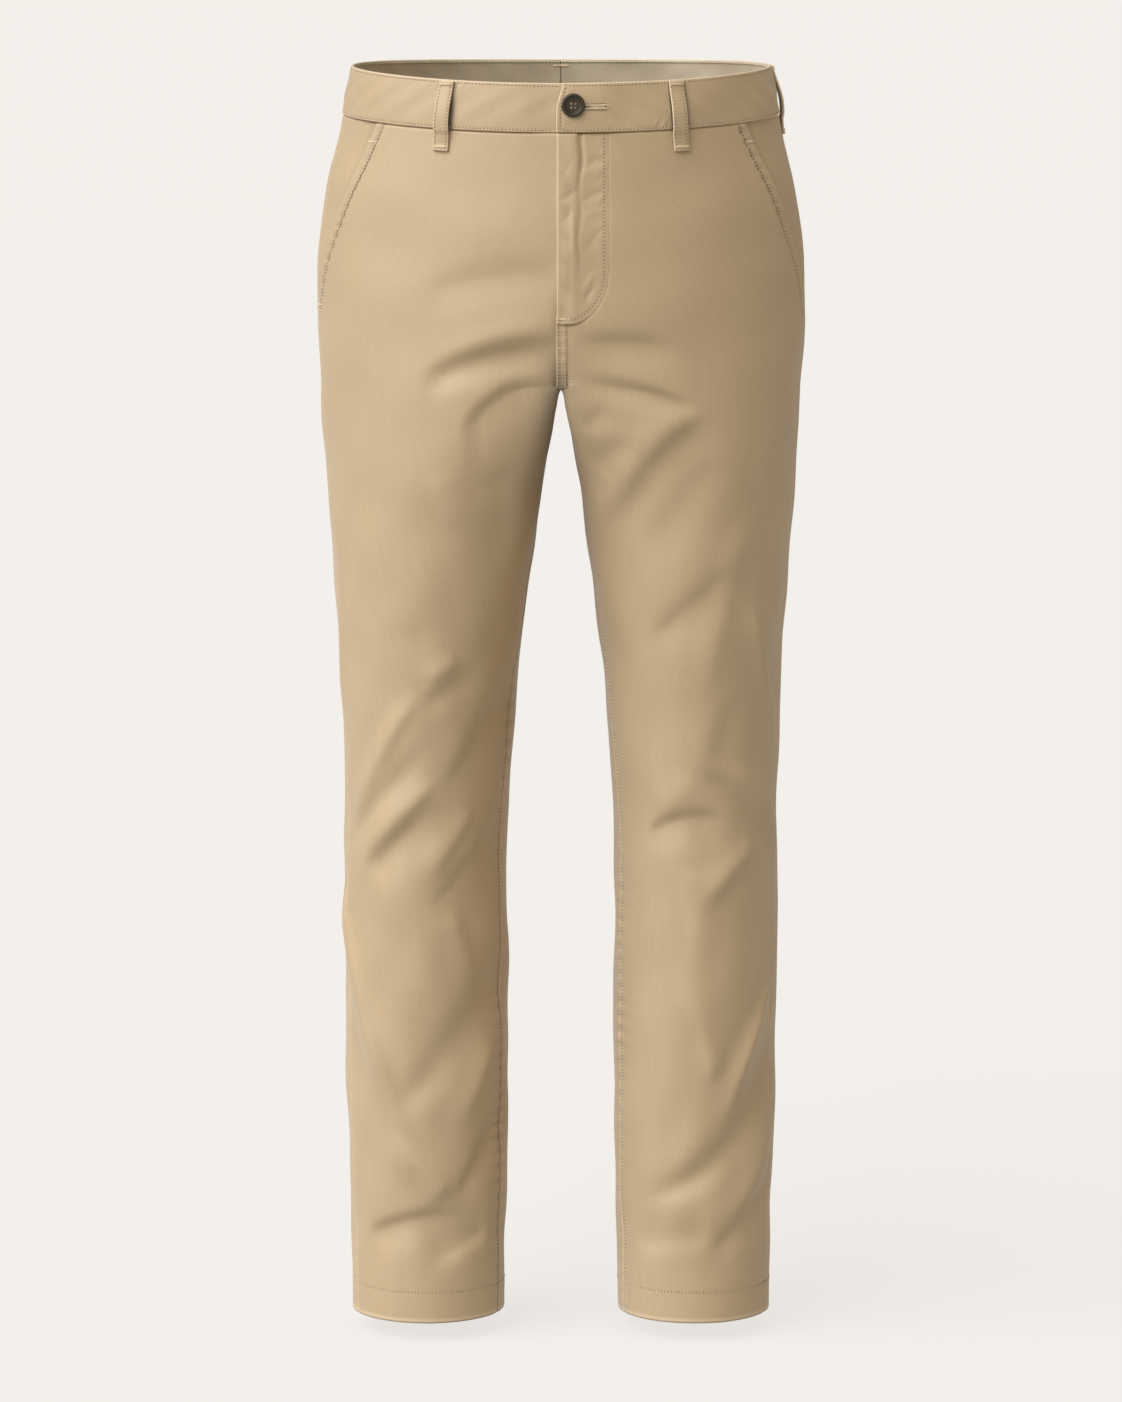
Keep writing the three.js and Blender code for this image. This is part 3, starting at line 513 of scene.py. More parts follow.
def twill_material(name, colour, rubbed_and_highlit):
    """Cotton twill: a matt weave with a faint bloom."""
    bloom = {"Sheen Weight": 0.26, "Sheen Roughness": 0.5, "Sheen Tint": (1, 0.97, 0.93, 1)}
    material, tree, surface = new_material(name, {"Roughness": 0.58, "Specular IOR Level": 0.8, **bloom})
    places = tree.nodes.new("ShaderNodeTexCoord")
    weave = tree.nodes.new("ShaderNodeGroup")
    weave.node_tree = bpy.data.node_groups["Twill weave"]
    tone_and_painted_light = tree.nodes.new("ShaderNodeGroup")
    tone_and_painted_light.node_tree = bpy.data.node_groups["Washed tone, wear and painted light"]
    tone_and_painted_light.inputs["Colour"].default_value = colour
    tone_and_painted_light.inputs["Rubbed and highlit"].default_value = rubbed_and_highlit
    for mask in ("edge", "painted_shade"):
        attribute = tree.nodes.new("ShaderNodeAttribute")
        attribute.attribute_name = mask
        tree.links.new(attribute.outputs["Fac"], tone_and_painted_light.inputs[mask.capitalize()])
    tree.links.new(places.outputs["UV"], weave.inputs["Cloth"])
    tree.links.new(places.outputs["UV"], tone_and_painted_light.inputs["Cloth"])
    tree.links.new(places.outputs["Object"], tone_and_painted_light.inputs["Place"])
    tree.links.new(weave.outputs["Yarn"], tone_and_painted_light.inputs["Yarn"])
    raise_surface(tree, surface, weave.outputs["Height"], 0.5, WEAVE_DEPTH)
    tree.links.new(tone_and_painted_light.outputs["Colour"], surface.inputs["Base Color"])
    return material


twill_weave()
cloth_tone_wear_and_painted_light()
WEAVE_DEPTH = 0.00012
khaki = twill_material("Khaki twill", (0.458, 0.334, 0.190, 1), (0.70, 0.56, 0.38, 1))
khaki_reverse = twill_material("Khaki twill reverse", (0.50, 0.415, 0.30, 1), (0.62, 0.53, 0.40, 1))

# The rows of a panel lie close together at the crotch, along the hem's stitches and at its folded foot.
HEM_STITCH = HEM_FOOT + 0.025
PANEL_ROWS = np.concatenate([
    BAND_FOOT + np.array([0.0015, 0.0006, 0, -0.0007, -0.0014, -0.0022, -0.0032, -0.0045]),
    np.arange(BAND_FOOT - 0.0070, -0.160, -0.0027),
    np.arange(-0.160, CROTCH + 0.0025, -0.0025),
    CROTCH + np.array([0.0020, 0.0012, 0.0006, 0.0002, -0.0002, -0.0008, -0.0015, -0.0023, -0.0032]),
    [CROTCH - 0.0044],
    np.arange(CROTCH - 0.0062, HEM_STITCH + 0.004, -0.0026),
    np.arange(HEM_STITCH + 0.003, HEM_STITCH - 0.003, -0.0006),
    np.arange(HEM_STITCH - 0.004, HEM_FOOT + 0.003, -0.002),
    HEM_FOOT + np.array([0.0022, 0.0015, 0.0009, 0.0005, 0.0002, 0]),
])
NEAR_EDGE = np.array([0, 0.0003, 0.0007, 0.0012, 0.0019, 0.0028, 0.0042])
PANEL_COLUMNS = 84
SEAM_SINK = 0.0010
SEAM_SOFT = 0.0014
CROTCH_SOFT = 0.014
# Puckers: how far apart, how deep and how far from the seam. Those of the inside leg begin below the thigh.
INSIDE_PUCKERS = (0.0125, 0.00090, 0.006)
INSIDE_PUCKERS_FROM = (-0.340, -0.560)
SIDE_PUCKERS = (0.017, 0.00025, 0.006)
SEAM_RIDGE = 0.0017
DEEP_CROTCH_SHADE, CROTCH_SHADE = 1.5, 0.45
CROTCH_SHADE_REACH = 0.0110
CROTCH_SHADE_SPREAD = 0.06
CROTCH_SHADE_TOP = CROTCH + 0.050
CROTCH_SHADE_FOOT = -0.420


def spread(leg, start, end, heights, columns):
    """Angles across each row between two edges, close together near both, and their distances from start."""
    steps = np.linspace(0, 1, 240)
    angles = start[:, None] + (end - start)[:, None] * steps
    points = form(leg, angles, heights[:, None])
    reach = distance_along(points)
    spread_angles, distances = [], []
    for row in range(len(heights)):
        width = reach[row, -1]
        middle = np.linspace(NEAR_EDGE[-1], width - NEAR_EDGE[-1], columns + 2)[1:-1]
        at = np.concatenate([NEAR_EDGE, middle, width - NEAR_EDGE[::-1]])
        distances.append(at)
        spread_angles.append(np.interp(at, reach[row], angles[row]))
    return np.array(spread_angles), np.array(distances), reach[:, -1:]


def inner_seam(height):
    """The angle of the seam towards the other leg: middle seam, or inside leg seam below the crotch."""
    inside_leg = 180 - column(SEAMS, SEAM_HEADS, "inside", height)
    return np.where(height > CROTCH, section(height)["seam"], inside_leg)


def side_seam(height):
    return column(SEAMS, SEAM_HEADS, "side", height)


def half_gap(height):
    """Half of a seam's gap, as degrees round the leg."""
    return np.degrees(SEAM_GAP / 2 / section(height)["forwards"]) * 1.2


def tuck(height, depth=0.0020):
    """How far cloth is drawn in where it runs up into the waistband."""
    return depth * ramp(height, BAND_FOOT - 0.0020, BAND_FOOT + 0.0004)


def seam_puckers(distance, height, spacing, depth, reach, seed):
    """The small puckers that a seam draws into the cloth beside it."""
    return depth * ripple(height, spacing, seed) * np.exp(-distance / reach) * ramp(distance, 0, 0.002)


MOUTH_BAND = 0.0078
MOUTH_GAPE = {1: 0.0032, -1: 0.0018}
MOUTH_GAPE_REACH = 0.016


# The fly's curved line of stitching, from the waistband down to the tip.
FLY_STITCH = 0.0327
FLY_TURNS = -0.130
FLY_FOOT = -0.1695
FLY_TIP = 0.0042


def past_fly_stitch(x, height):
    """How far a place lies outside the fly's curved line of stitching."""
    down = np.maximum(0, FLY_TURNS - height) / (FLY_TURNS - FLY_FOOT)
    over = np.maximum(0, x - FLY_TIP) / (FLY_STITCH - FLY_TIP)
    return (np.hypot(down, over) - 1) * (FLY_STITCH - FLY_TIP)


def panel(name, leg, outer_edge, inner_edge, at_front):
    heights = PANEL_ROWS
    angle, from_outer, width = spread(leg, outer_edge, inner_edge, heights, PANEL_COLUMNS)
    from_inner = width - from_outer
    height = np.broadcast_to(heights[:, None], angle.shape)
    mouth = (height > POCKET_FOOT) if at_front else np.zeros(angle.shape, bool)
    at_crotch = bell(height - CROTCH, CROTCH_SOFT)
    sunk = SEAM_SINK * bell(from_inner, SEAM_SOFT) * (1 - 0.9 * at_crotch)
    sunk += np.where(mouth, 0, 0.7 * SEAM_SINK * bell(from_outer, SEAM_SOFT))
    lift = -sunk
    below = ramp(height, CROTCH, CROTCH - 0.06)
    inner_puckers = seam_puckers(from_inner, height, *INSIDE_PUCKERS, leg * 1.3)
    inner_puckers = inner_puckers * ramp(height, *INSIDE_PUCKERS_FROM)
    side_puckers = seam_puckers(from_outer, height, *SIDE_PUCKERS, leg * 2.1)
    lift += inner_puckers + np.where(mouth, 0, side_puckers)
    if at_front:
        share = np.clip((height - POCKET_FOOT) / (BAND_FOOT - POCKET_FOOT), 0, 1)
        gape = MOUTH_GAPE[leg] * np.sin(math.pi * share) ** 1.5
        gape = gape * bell(from_outer, MOUTH_GAPE_REACH)
        band_edge = bell(from_outer - MOUTH_BAND, 0.0010)
        beside_band = bell(from_outer - MOUTH_BAND + 0.001, 0.004)
        band_puckers = ripple(height, 0.0085, 4.0 + leg) * beside_band
        lift += np.where(mouth, gape - 0.0010 * band_edge + 0.0008 * band_puckers, 0)
        # Painted shade in the pocket mouth's stitch groove and in its pucker hollows.
        mouth_painted_shade = np.where(mouth, band_edge + 0.5 * np.clip(-band_puckers, 0, 1), 0)
    across = from_outer if leg > 0 else -from_outer
    hem_line = bell(height - HEM_STITCH, 0.0008)
    hem_rope = 0.00028 * ripple(across - height * 0.9, 0.0075, 5.0 + leg)
    hem_rope = hem_rope * bell(height - HEM_STITCH + 0.004, 0.006)
    lift += hem_rope - 0.0002 * hem_line
    lift -= tuck(height)
    if at_front and leg > 0:
        x = form(leg, angle, height)[..., 0]
        lift -= 0.0009 * (1 - ramp(past_fly_stitch(x, height), 0.0015, 0.0040))
    hem = ramp(height, HEM_STITCH + 0.0006, HEM_STITCH - 0.0006)
    thick = mix(TWILL, HEM_TWILL, hem)
    foot = rolled(height - HEM_FOOT, HEM_TWILL / 2) * 0.98
    edge_roll = np.where(mouth, rolled(from_outer, TWILL / 2) * 0.98, 0)
    roll = np.maximum(foot, edge_roll)
    outer = cloth_point(leg, angle, height, lift - roll)
    inner = cloth_point(leg, angle, height, lift - thick + roll)
    # Edges are paler along the seams, the pocket mouth and the hem's foot, partly wear and partly painted
    # highlight. Painted shade darkens the puckers, the hem's stitch groove, a line under the hem's foot, the
    # inside leg seam and the cloth round the crotch, deepest on the right leg's front.
    nearest = np.minimum(from_inner, np.where(mouth, from_outer + 0.0005, from_outer))
    wear_and_highlight = np.where(from_inner < from_outer, 0.75, np.where(mouth, 1.0, 0.30))
    ridge_at = np.where(mouth & (from_outer < from_inner), 0, SEAM_RIDGE)
    edge = wear_and_highlight * bell(nearest - ridge_at, 0.0012)
    edge += 0.8 * bell(height - HEM_FOOT - 0.0024, 0.0010)
    painted_shade = np.clip(-(inner_puckers + side_puckers * ~mouth) / 0.0006, 0, 1) * 0.7 + hem_line * 0.10
    painted_shade += 1.5 * bell(height - HEM_FOOT, 0.0010)
    painted_shade += (1.5 if leg < 0 else 0.7) * below * bell(from_inner, 0.0012)
    inward = np.maximum(0, np.abs(form(leg, angle, height)[..., 0]) - np.maximum(0, section(height)["gap"]))
    reach = CROTCH_SHADE_REACH + CROTCH_SHADE_SPREAD * np.maximum(0, CROTCH - height)
    rising = ramp(height, CROTCH_SHADE_FOOT, CROTCH) ** 2
    depth = np.where(height > CROTCH, ramp(height, CROTCH_SHADE_TOP, CROTCH), rising)
    shade = DEEP_CROTCH_SHADE if at_front and leg < 0 else CROTCH_SHADE
    painted_shade += shade * depth * bell(inward, reach)
    if at_front:
        painted_shade = painted_shade + mouth_painted_shade
    flat = np.stack([from_outer, height], axis=-1)
    return shell(name, outer, inner, flat, {"edge": edge, "painted_shade": painted_shade}, [khaki, khaki_reverse])


def sew_in(cloth, node):
    """Make a cloth piece stand for its solid: it hangs from the root, and its solid, when there is one, is
    hidden.
    """
    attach(cloth, "root")
    if node:
        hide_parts(node)


mouth_angle = np.where(PANEL_ROWS > POCKET_FOOT, column(MOUTH, MOUTH_HEADS, "angle", PANEL_ROWS), 0)
front_outer = np.maximum(side_seam(PANEL_ROWS), mouth_angle) + half_gap(PANEL_ROWS)
front_inner = inner_seam(PANEL_ROWS) - half_gap(PANEL_ROWS)
back_outer = 360 + side_seam(PANEL_ROWS) - half_gap(PANEL_ROWS)
back_turn = np.where(PANEL_ROWS > CROTCH, 360 - inner_seam(PANEL_ROWS), inner_seam(PANEL_ROWS))
back_inner = back_turn + half_gap(PANEL_ROWS)
for side, leg in (("left", 1), ("right", -1)):
    front = panel(f"front_{side}_cloth", leg, front_outer, front_inner, True)
    sew_in(front, f"front_{side}")
    back = panel(f"back_{side}_cloth", leg, back_outer, back_inner, False)
    sew_in(back, f"back_{side}")

# Pocket facings: the cloth that shows in the slanted pocket mouths. Each is sewn into the side seam and the
# waistband and runs on behind the front panel's edge.
FACING_CLOTH = 0.0010
MOUTH_STANDS_OFF = 0.0010
POCKET_UNDERLAP = 6
FACING_FOOT = POCKET_FOOT + 0.005
for side, leg in (("left", 1), ("right", -1)):
    heights = np.append(np.arange(BAND_FOOT + 0.0012, FACING_FOOT, -0.0015), FACING_FOOT)
    seam = (side_seam(heights) + half_gap(heights))[:, None]
    mouth = column(MOUTH, MOUTH_HEADS, "angle", heights)[:, None]
    angle = seam + (mouth + POCKET_UNDERLAP - seam) * np.linspace(0, 1, 44) ** 1.3
    height = np.broadcast_to(heights[:, None], angle.shape)
    from_seam = np.radians(angle - seam) * section(height)["forwards"]
    sunk = (TWILL + MOUTH_STANDS_OFF) * ramp(angle, seam, np.maximum(seam + 0.4, mouth - 0.6))
    sunk = sunk + SEAM_SINK * bell(from_seam, SEAM_SOFT)
    sunk = sunk + 0.0006 * ripple(height, 0.055, 3.0 * leg) * ramp(from_seam, 0.002, 0.012)
    sunk = sunk + tuck(height) * (1 - ramp(from_seam, 0.01, 0.03) * 0.4)
    # Paler next to the side seam, partly wear and partly painted highlight, and painted shade deepening
    # towards the mouth behind the front panel's edge.
    facing = shell(
        f"pocket_facing_{side}_cloth",
        cloth_point(leg, angle, height, -sunk),
        cloth_point(leg, angle, height, -sunk - FACING_CLOTH),
        np.stack([from_seam, height], axis=-1),
        {"edge": 0.8 * bell(from_seam, 0.0016), "painted_shade": 0.35 * ramp(angle, mouth - 5, mouth)},
        [khaki, khaki_reverse],
    )
    sew_in(facing, f"pocket_facing_{side}")

# Fly: doubled cloth over the zip. Its folded edge stands forward at the middle of the front, and it is held
# down by a curved line of stitching, past which it is one with the front panel.
FLY_EDGE = -0.0032
FLY_LIFT = 0.0015
FLY_CLOTH = 0.0010
FLY_MARGIN = 0.0040
# Puckers of the fly: from and to, as distances across and heights, then depth (negative for a ridge) and
# half width.
FLY_PUCKERS = (
    (0.0000, -0.0700, 0.0120, -0.0625, 0.00060, 0.0030),
    (0.0170, -0.0440, 0.0310, -0.0360, 0.00065, 0.0034),
    (0.0020, -0.0500, 0.0090, -0.0370, 0.00030, 0.0024),
    (0.0180, -0.0700, 0.0300, -0.0630, 0.00050, 0.0032),
    (0.0000, -0.0900, 0.0080, -0.0780, 0.00030, 0.0026),
    (0.0190, -0.1130, 0.0290, -0.0960, 0.00040, 0.0036),
    (0.0190, -0.1530, 0.0240, -0.1440, 0.00055, 0.0020),
    (0.0090, -0.0780, 0.0095, -0.1120, -0.00050, 0.0022),
    (0.0030, -0.1000, 0.0040, -0.1400, -0.00025, 0.0026),
    (0.0190, -0.0850, 0.0260, -0.0780, -0.00035, 0.0030),
    (0.0170, -0.1460, 0.0250, -0.1320, -0.00045, 0.0026),
)


def front_point(x, height, lift):
    """A point on the front above the crotch, by its distance across from the middle."""
    s = section(height)
    angle = np.degrees(np.arccos(np.clip((np.abs(x) - s["centre"]) / s["half"], -1, 1)))
    return np.where((x >= 0)[..., None], above(1, angle, height, lift), above(-1, angle, height, lift))


down = np.linspace(0, 1, 130)[:, None]
fly_drop = FLY_TURNS - FLY_FOOT + FLY_MARGIN
height = mix(BAND_FOOT + 0.0012, FLY_TURNS - fly_drop, down**1.15)
turned = np.clip((FLY_TURNS - height) / fly_drop, 0, 1)
fly_reach = FLY_TIP + (FLY_STITCH + FLY_MARGIN - FLY_TIP) * np.sqrt(1 - turned**2)
across = np.concatenate([NEAR_EDGE[:5] / 0.04, np.linspace(0.07, 1, 52)])
x = FLY_EDGE + (fly_reach - FLY_EDGE) * across
height = np.broadcast_to(height, x.shape)
past = past_fly_stitch(x, height)
lift = FLY_LIFT * (1 - ramp(x, 0.003, 0.026))
lift += 0.0006 * bell(x - 0.0098, 0.0042) * (1 - ramp(height, -0.100, -0.060) * 0.3)
crease = 0.0014 * ramp(height, -0.062, -0.030) + 0.00045 * ramp(height, FLY_FOOT + 0.02, FLY_FOOT + 0.06)
crease_x = 0.0148 + 0.02 * (height + 0.05) + 0.0010 * np.sin(height * 150 + 1)
lift -= crease * (1 + 0.5 * ripple(height, 0.019, 3.1)) * bell(x - crease_x, 0.0020)
for from_x, from_height, to_x, to_height, depth, half_width in FLY_PUCKERS:
    length = math.hypot(to_x - from_x, to_height - from_height)
    along = ((x - from_x) * (to_x - from_x) + (height - from_height) * (to_height - from_height)) / length**2
    aside = ((x - from_x) * (to_height - from_height) - (height - from_height) * (to_x - from_x)) / length
    lift -= depth * ramp(along, -0.25, 0.25) * ramp(along, 1.25, 0.75) * bell(aside, half_width)
zip_puckers = ripple(height + x * 0.9, 0.0230, 2.2) * bell(x - 0.0050, 0.0060)
stitch_puckers = ripple(height - x * 0.8, 0.0105, 5.1) * bell(past + 0.0026, 0.0022)
outer_puckers = ripple(height + x * 0.8, 0.0130, 7.3) * bell(past - 0.0012, 0.0012)
lift += 0.00030 * zip_puckers + 0.00020 * stitch_puckers + 0.00012 * outer_puckers
lift -= 0.00028 * bell(past, 0.0007) + 0.00025 * ramp(past, 0.0012, FLY_MARGIN)
lift -= tuck(height, 0.0022)
fold_roll = rolled(x - FLY_EDGE, FLY_CLOTH / 2) * 0.98
inner_lift = np.maximum(lift - FLY_CLOTH + fold_roll, -0.0010)
# The fly's folded edge is paler, partly wear and partly painted highlight, and painted shade lies along its
# stitching and in the zip's pucker hollows.
fly = shell(
    "fly_cloth",
    front_point(x, height, lift - fold_roll),
    front_point(x, height, np.minimum(inner_lift, lift - fold_roll - 0.0001)),
    np.stack([x, height], axis=-1),
    {
        "edge": 0.9 * bell(x - FLY_EDGE, 0.0012),
        "painted_shade": 0.3 * bell(past, 0.0007) + 0.2 * np.clip(-zip_puckers, 0, 1),
    },
    [khaki, khaki_reverse],
)
sew_in(fly, "fly")

# The felled end of the middle seam: a narrow doubled strip of the same twill from the tip of the fly down to
# the crotch, stitched along both edges.
STRIP_LEFT, STRIP_RIGHT = -0.0035, 0.0044
STRIP_FOOT = -0.2234
STRIP_STITCH = 0.0012
down = np.linspace(0, 1, 60)[:, None]
height = mix(FLY_FOOT + 0.003, STRIP_FOOT, down)
across = np.concatenate([[0, 0.04, 0.1], np.linspace(0.18, 0.82, 9), [0.9, 0.96, 1]])
x = STRIP_LEFT + (STRIP_RIGHT - STRIP_LEFT) * across + 0 * height
height = np.broadcast_to(height, x.shape)
from_edge = np.minimum(x - STRIP_LEFT, STRIP_RIGHT - x)
lift = 0.0009 - rolled(from_edge, 0.0006) - 0.0003 * bell(from_edge - STRIP_STITCH, 0.0005)
lift += 0.0002 * ripple(height, 0.008, 1.0) - 0.0004 * ramp(height, -0.216, STRIP_FOOT)
# The strip's edges are paler, partly wear and partly painted highlight, and painted shade darkens it towards
# the crotch.
strip = shell(
    "middle_seam_strip",
    front_point(x, height, lift),
    front_point(x, height, np.minimum(lift - 0.0002, -0.0005)),
    np.stack([x, height], axis=-1),
    {"edge": 0.7 * bell(from_edge, 0.0008), "painted_shade": 1.1 * ramp(height, -0.196, STRIP_FOOT)},
    [khaki, khaki_reverse],
)
sew_in(strip, None)

# Waistband: two doubled halves joined at the middle of the back. The left end, cut at a slant, laps over the
# right one at the front. Both long edges are topstitched, and the cloth rolls over at the rim.
BAND_CLOTH = 0.0020
BAND_PROUD = 0.0008
LAP_SHIFT = 0.0012
LAP_SLANT = 0.0054
BAND_LAP_EDGE = -0.0036
BAND_UNDERLAP = 0.026
BACK_GAP_ANGLE = 0.08
RIM_STITCH = BAND_TOP - 0.0022
FOOT_STITCH = BAND_FOOT + 0.0018
LOOP_WIDTH = 0.012
LOOPS = (("front_left", 58), ("front_right", 122), ("side_left", -5), ("side_right", 196), ("back", 270))


def across_angle(x):
    """The angle round the waist at a distance across the front."""
    return np.degrees(np.arccos(x / column(SECTIONS, SECTION_HEADS, "outer", 0.0)))


def waist_point(angle, height, lift):
    """A point near the waist by an angle all round the garment: 0 is the wearer's left and 90 the front."""
    return form(1, angle, height) + outwards(1, angle, height) * np.asarray(lift)[..., None]


def degree_at(angle):
    """The length of one degree round the waist at an angle."""
    return np.linalg.norm(waist_point(angle + 0.5, 0.0, 0.0) - waist_point(angle - 0.5, 0.0, 0.0))


def shaded_beside_loop(aside, height):
    """How dark the waistband is under a belt loop and beside it, where its stand-off keeps the light out."""
    beyond = np.abs(aside) - LOOP_WIDTH / 2
    reach = np.where(aside < 0, 0.0026, 0.0004)
    top = ramp(height, BAND_TOP - 0.001, BAND_TOP - 0.005)
    return 1.7 * bell(np.maximum(0, beyond), reach) * top


def waistband(side, from_angle, to_angle, lap, seed):
    near = np.array([0, 0.0003, 0.0007, 0.0012, 0.0017, 0.0022, 0.0027, 0.0033, 0.0040])
    heights = np.concatenate([BAND_TOP - near, np.linspace(BAND_TOP - 0.005, BAND_FOOT + 0.005, 20)])
    heights = np.concatenate([heights, BAND_FOOT + near[::-1]])
    steps = np.linspace(0, 1, 226)
    shares = np.concatenate([NEAR_EDGE[1:] / 0.45, steps[3:-3], 1 - NEAR_EDGE[:0:-1] / 0.45])
    ends = to_angle(heights)[:, None]
    turns = np.concatenate([angle + np.arange(-7, 7.01, 0.35) for _, angle in LOOPS])
    beside_loops = (turns - from_angle) / (ends.mean() - from_angle)
    beside_loops = beside_loops[(beside_loops > 0.02) & (beside_loops < 0.98)]
    shares = np.unique(np.round(np.concatenate([[0], shares, beside_loops, [1]]), 6))
    angle = from_angle + (ends - from_angle) * shares
    height = np.broadcast_to(heights[:, None], angle.shape)
    flat = waist_point(angle, height, 0 * angle)
    along = distance_along(flat)
    from_end = along[:, -1:] - along
    middle = (BAND_TOP + BAND_FOOT) / 2
    crown = 1 - ((height - middle) / (BAND_TOP - middle)) ** 2
    grooves = sum(bell(height - row, 0.0007) for row in (RIM_STITCH, FOOT_STITCH))
    lift = BAND_PROUD + lap(flat) + 0.0005 * crown - 0.00022 * grooves
    waves = 0.0011 * ripple(along + height * 0.9, 0.085, seed)
    lift += (waves + 0.0004 * ripple(along - height, 0.031, seed + 2)) * crown
    foot_puckers = ripple(along + height * 1.1, 0.0080, seed * 1.9)
    lift += 0.00020 * foot_puckers * bell(height - FOOT_STITCH - 0.0035, 0.0040)
    rim_puckers = ripple(along, 0.0070, seed * 2.7)
    lift += 0.00015 * rim_puckers * bell(height - RIM_STITCH + 0.002, 0.003)
    if side == "left":
        lift -= 0.00050 * bell(from_end - 0.0030, 0.0006)
    from_long_edge = np.minimum(BAND_TOP - height, height - BAND_FOOT)
    from_edge = np.minimum(from_long_edge, np.minimum(along, from_end) + 0.0002)
    roll = rolled(from_edge, BAND_CLOTH / 2) * 0.98
    # The long edges and the lapped end are paler, partly wear and partly painted highlight. Painted shade
    # lies in the stitch grooves on both faces, and a painted shadow under and beside each belt loop on the
    # outer face.
    edge = bell(from_long_edge, 0.0010)
    edge = np.maximum(edge, 0.9 * bell(from_end, 0.0011))
    groove_shade = 0.15 * grooves * (1 - edge)
    shade = groove_shade
    for _, loop_angle in LOOPS:
        aside = ((angle - loop_angle + 180) % 360 - 180) * degree_at(loop_angle)
        shade = shade + shaded_beside_loop(-aside if loop_angle > 180 else aside, height)
    band = shell(
        f"waistband_{side}_cloth",
        waist_point(angle, height, lift - roll),
        waist_point(angle, height, lift - BAND_CLOTH + roll),
        np.stack([along, height], axis=-1),
        {"edge": edge, "painted_shade": (shade, groove_shade)},
        [khaki, khaki_reverse],
    )
    sew_in(band, f"waistband_{side}")
    return band


def lap_angle(height):
    """The slanted end of the left half, which leans over towards the wearer's left at the rim."""
    return across_angle(BAND_LAP_EDGE + LAP_SLANT * ramp(height, -0.002, BAND_TOP + 0.004))


def over_lap(p):
    return np.where(p[..., 1] < 0, LAP_SHIFT * (1 - ramp(p[..., 0], 0.028, 0.052)), 0)


def under_lap(p):
    return np.where(p[..., 1] < 0, -LAP_SHIFT * ramp(p[..., 0], -0.032, -0.007), 0)


band_left = waistband("left", -90 + BACK_GAP_ANGLE, lap_angle, over_lap, 1.0)
band_right = waistband(
    "right", 270 - BACK_GAP_ANGLE, lambda height: across_angle(BAND_UNDERLAP) + 0 * height, under_lap, 2.0
)

# Belt loops: doubled straps with both edges stitched and both ends turned under. Each is sewn down at its
# ends, one under the rim and one below the waistband, and stands a little off between them.
LOOP_CLOTH = 0.0016
LOOP_CLEAR = 0.0003
LOOP_TOP = 0.0188
LOOP_FOOT = -0.034
LOOP_BOW = 0.0030
LOOP_STITCH = 0.0016


def loop_lift(height):
    """How far a loop's inner face stands off the garment's plain form."""
    share = (LOOP_TOP - height) / (LOOP_TOP - LOOP_FOOT)
    over_band = (BAND_PROUD + LOOP_CLEAR) * ramp(height, BAND_FOOT - 0.006, BAND_FOOT - 0.001)
    return np.maximum(LOOP_CLEAR, over_band) + LOOP_BOW * np.sin(math.pi * np.clip(share, 0, 1)) ** 2


loops = {}
for number, (place, angle) in enumerate(LOOPS):
    per_metre = 1 / degree_at(angle)
    near = np.array([0, 0.0002, 0.0005, 0.0009, 0.0013, 0.0017, 0.0022])
    u = np.concatenate([near, np.linspace(0.0030, 0.0090, 7), LOOP_WIDTH - near[::-1]]) - LOOP_WIDTH / 2
    v = np.concatenate([LOOP_TOP - near, np.linspace(LOOP_TOP - 0.003, LOOP_FOOT + 0.005, 44)])
    v = np.concatenate([v, LOOP_FOOT + 0.0045 - near * 0.5, LOOP_FOOT + near[::-1]])
    height, x = np.meshgrid(v, u, indexing="ij")
    wander = 0.0004 * np.sin(height * 95 + number * 1.9)
    from_side = LOOP_WIDTH / 2 - np.abs(x)
    turned_foot = ramp(height, LOOP_FOOT + 0.0048, LOOP_FOOT + 0.0036)
    turned_end = 0.0005 * (turned_foot + ramp(height, 0.0150, 0.0162))
    lift = loop_lift(height) + LOOP_CLOTH + turned_end
    lift += 0.00025 * (1 - (x / (LOOP_WIDTH / 2)) ** 2)
    lift -= 0.00025 * bell(from_side - LOOP_STITCH, 0.0005)
    beside_stitches = bell(from_side - 0.0026, 0.0016)
    lift += 0.00012 * ripple(height + x, 0.0060, 1.0 + number) * beside_stitches
    from_end = np.minimum(LOOP_TOP - height, height - LOOP_FOOT)
    roll = rolled(np.minimum(from_side, from_end), LOOP_CLOTH / 2) * 0.98
    # Paler edges, partly wear and partly painted highlight, and painted shade along the stitch lines.
    edge = bell(np.minimum(from_side, from_end), 0.0008)
    turn = angle + (x + wander) * per_metre * (-1 if place.endswith("left") else 1)
    loop = shell(
        f"belt_loop_{place}_cloth",
        waist_point(turn, height, lift - roll),
        waist_point(turn, height, loop_lift(height) + roll),
        np.stack([x + number * 0.02, height], axis=-1),
        {"edge": edge, "painted_shade": 0.3 * bell(from_side - LOOP_STITCH, 0.0006)},
        [khaki],
    )
    sew_in(loop, f"belt_loop_{place}")
    loops[place] = loop

# Stitching: khaki thread in small tight stitches that sink into the cloth at both ends, along every edge
# that is turned and sewn down. Ends that take a pull are barred with closely set stitches.
STITCH_PITCH = 0.0028
INSIDE_STITCH = 0.0026
MOUTH_STITCH = 0.0075
THREAD = 0.00036
TREAD = ((0, -1.6, 0), (0.13, 0.15, 0.75), (0.5, 0.75, 1.0), (0.87, 0.15, 0.75), (1, -1.6, 0))
ROUND = 5


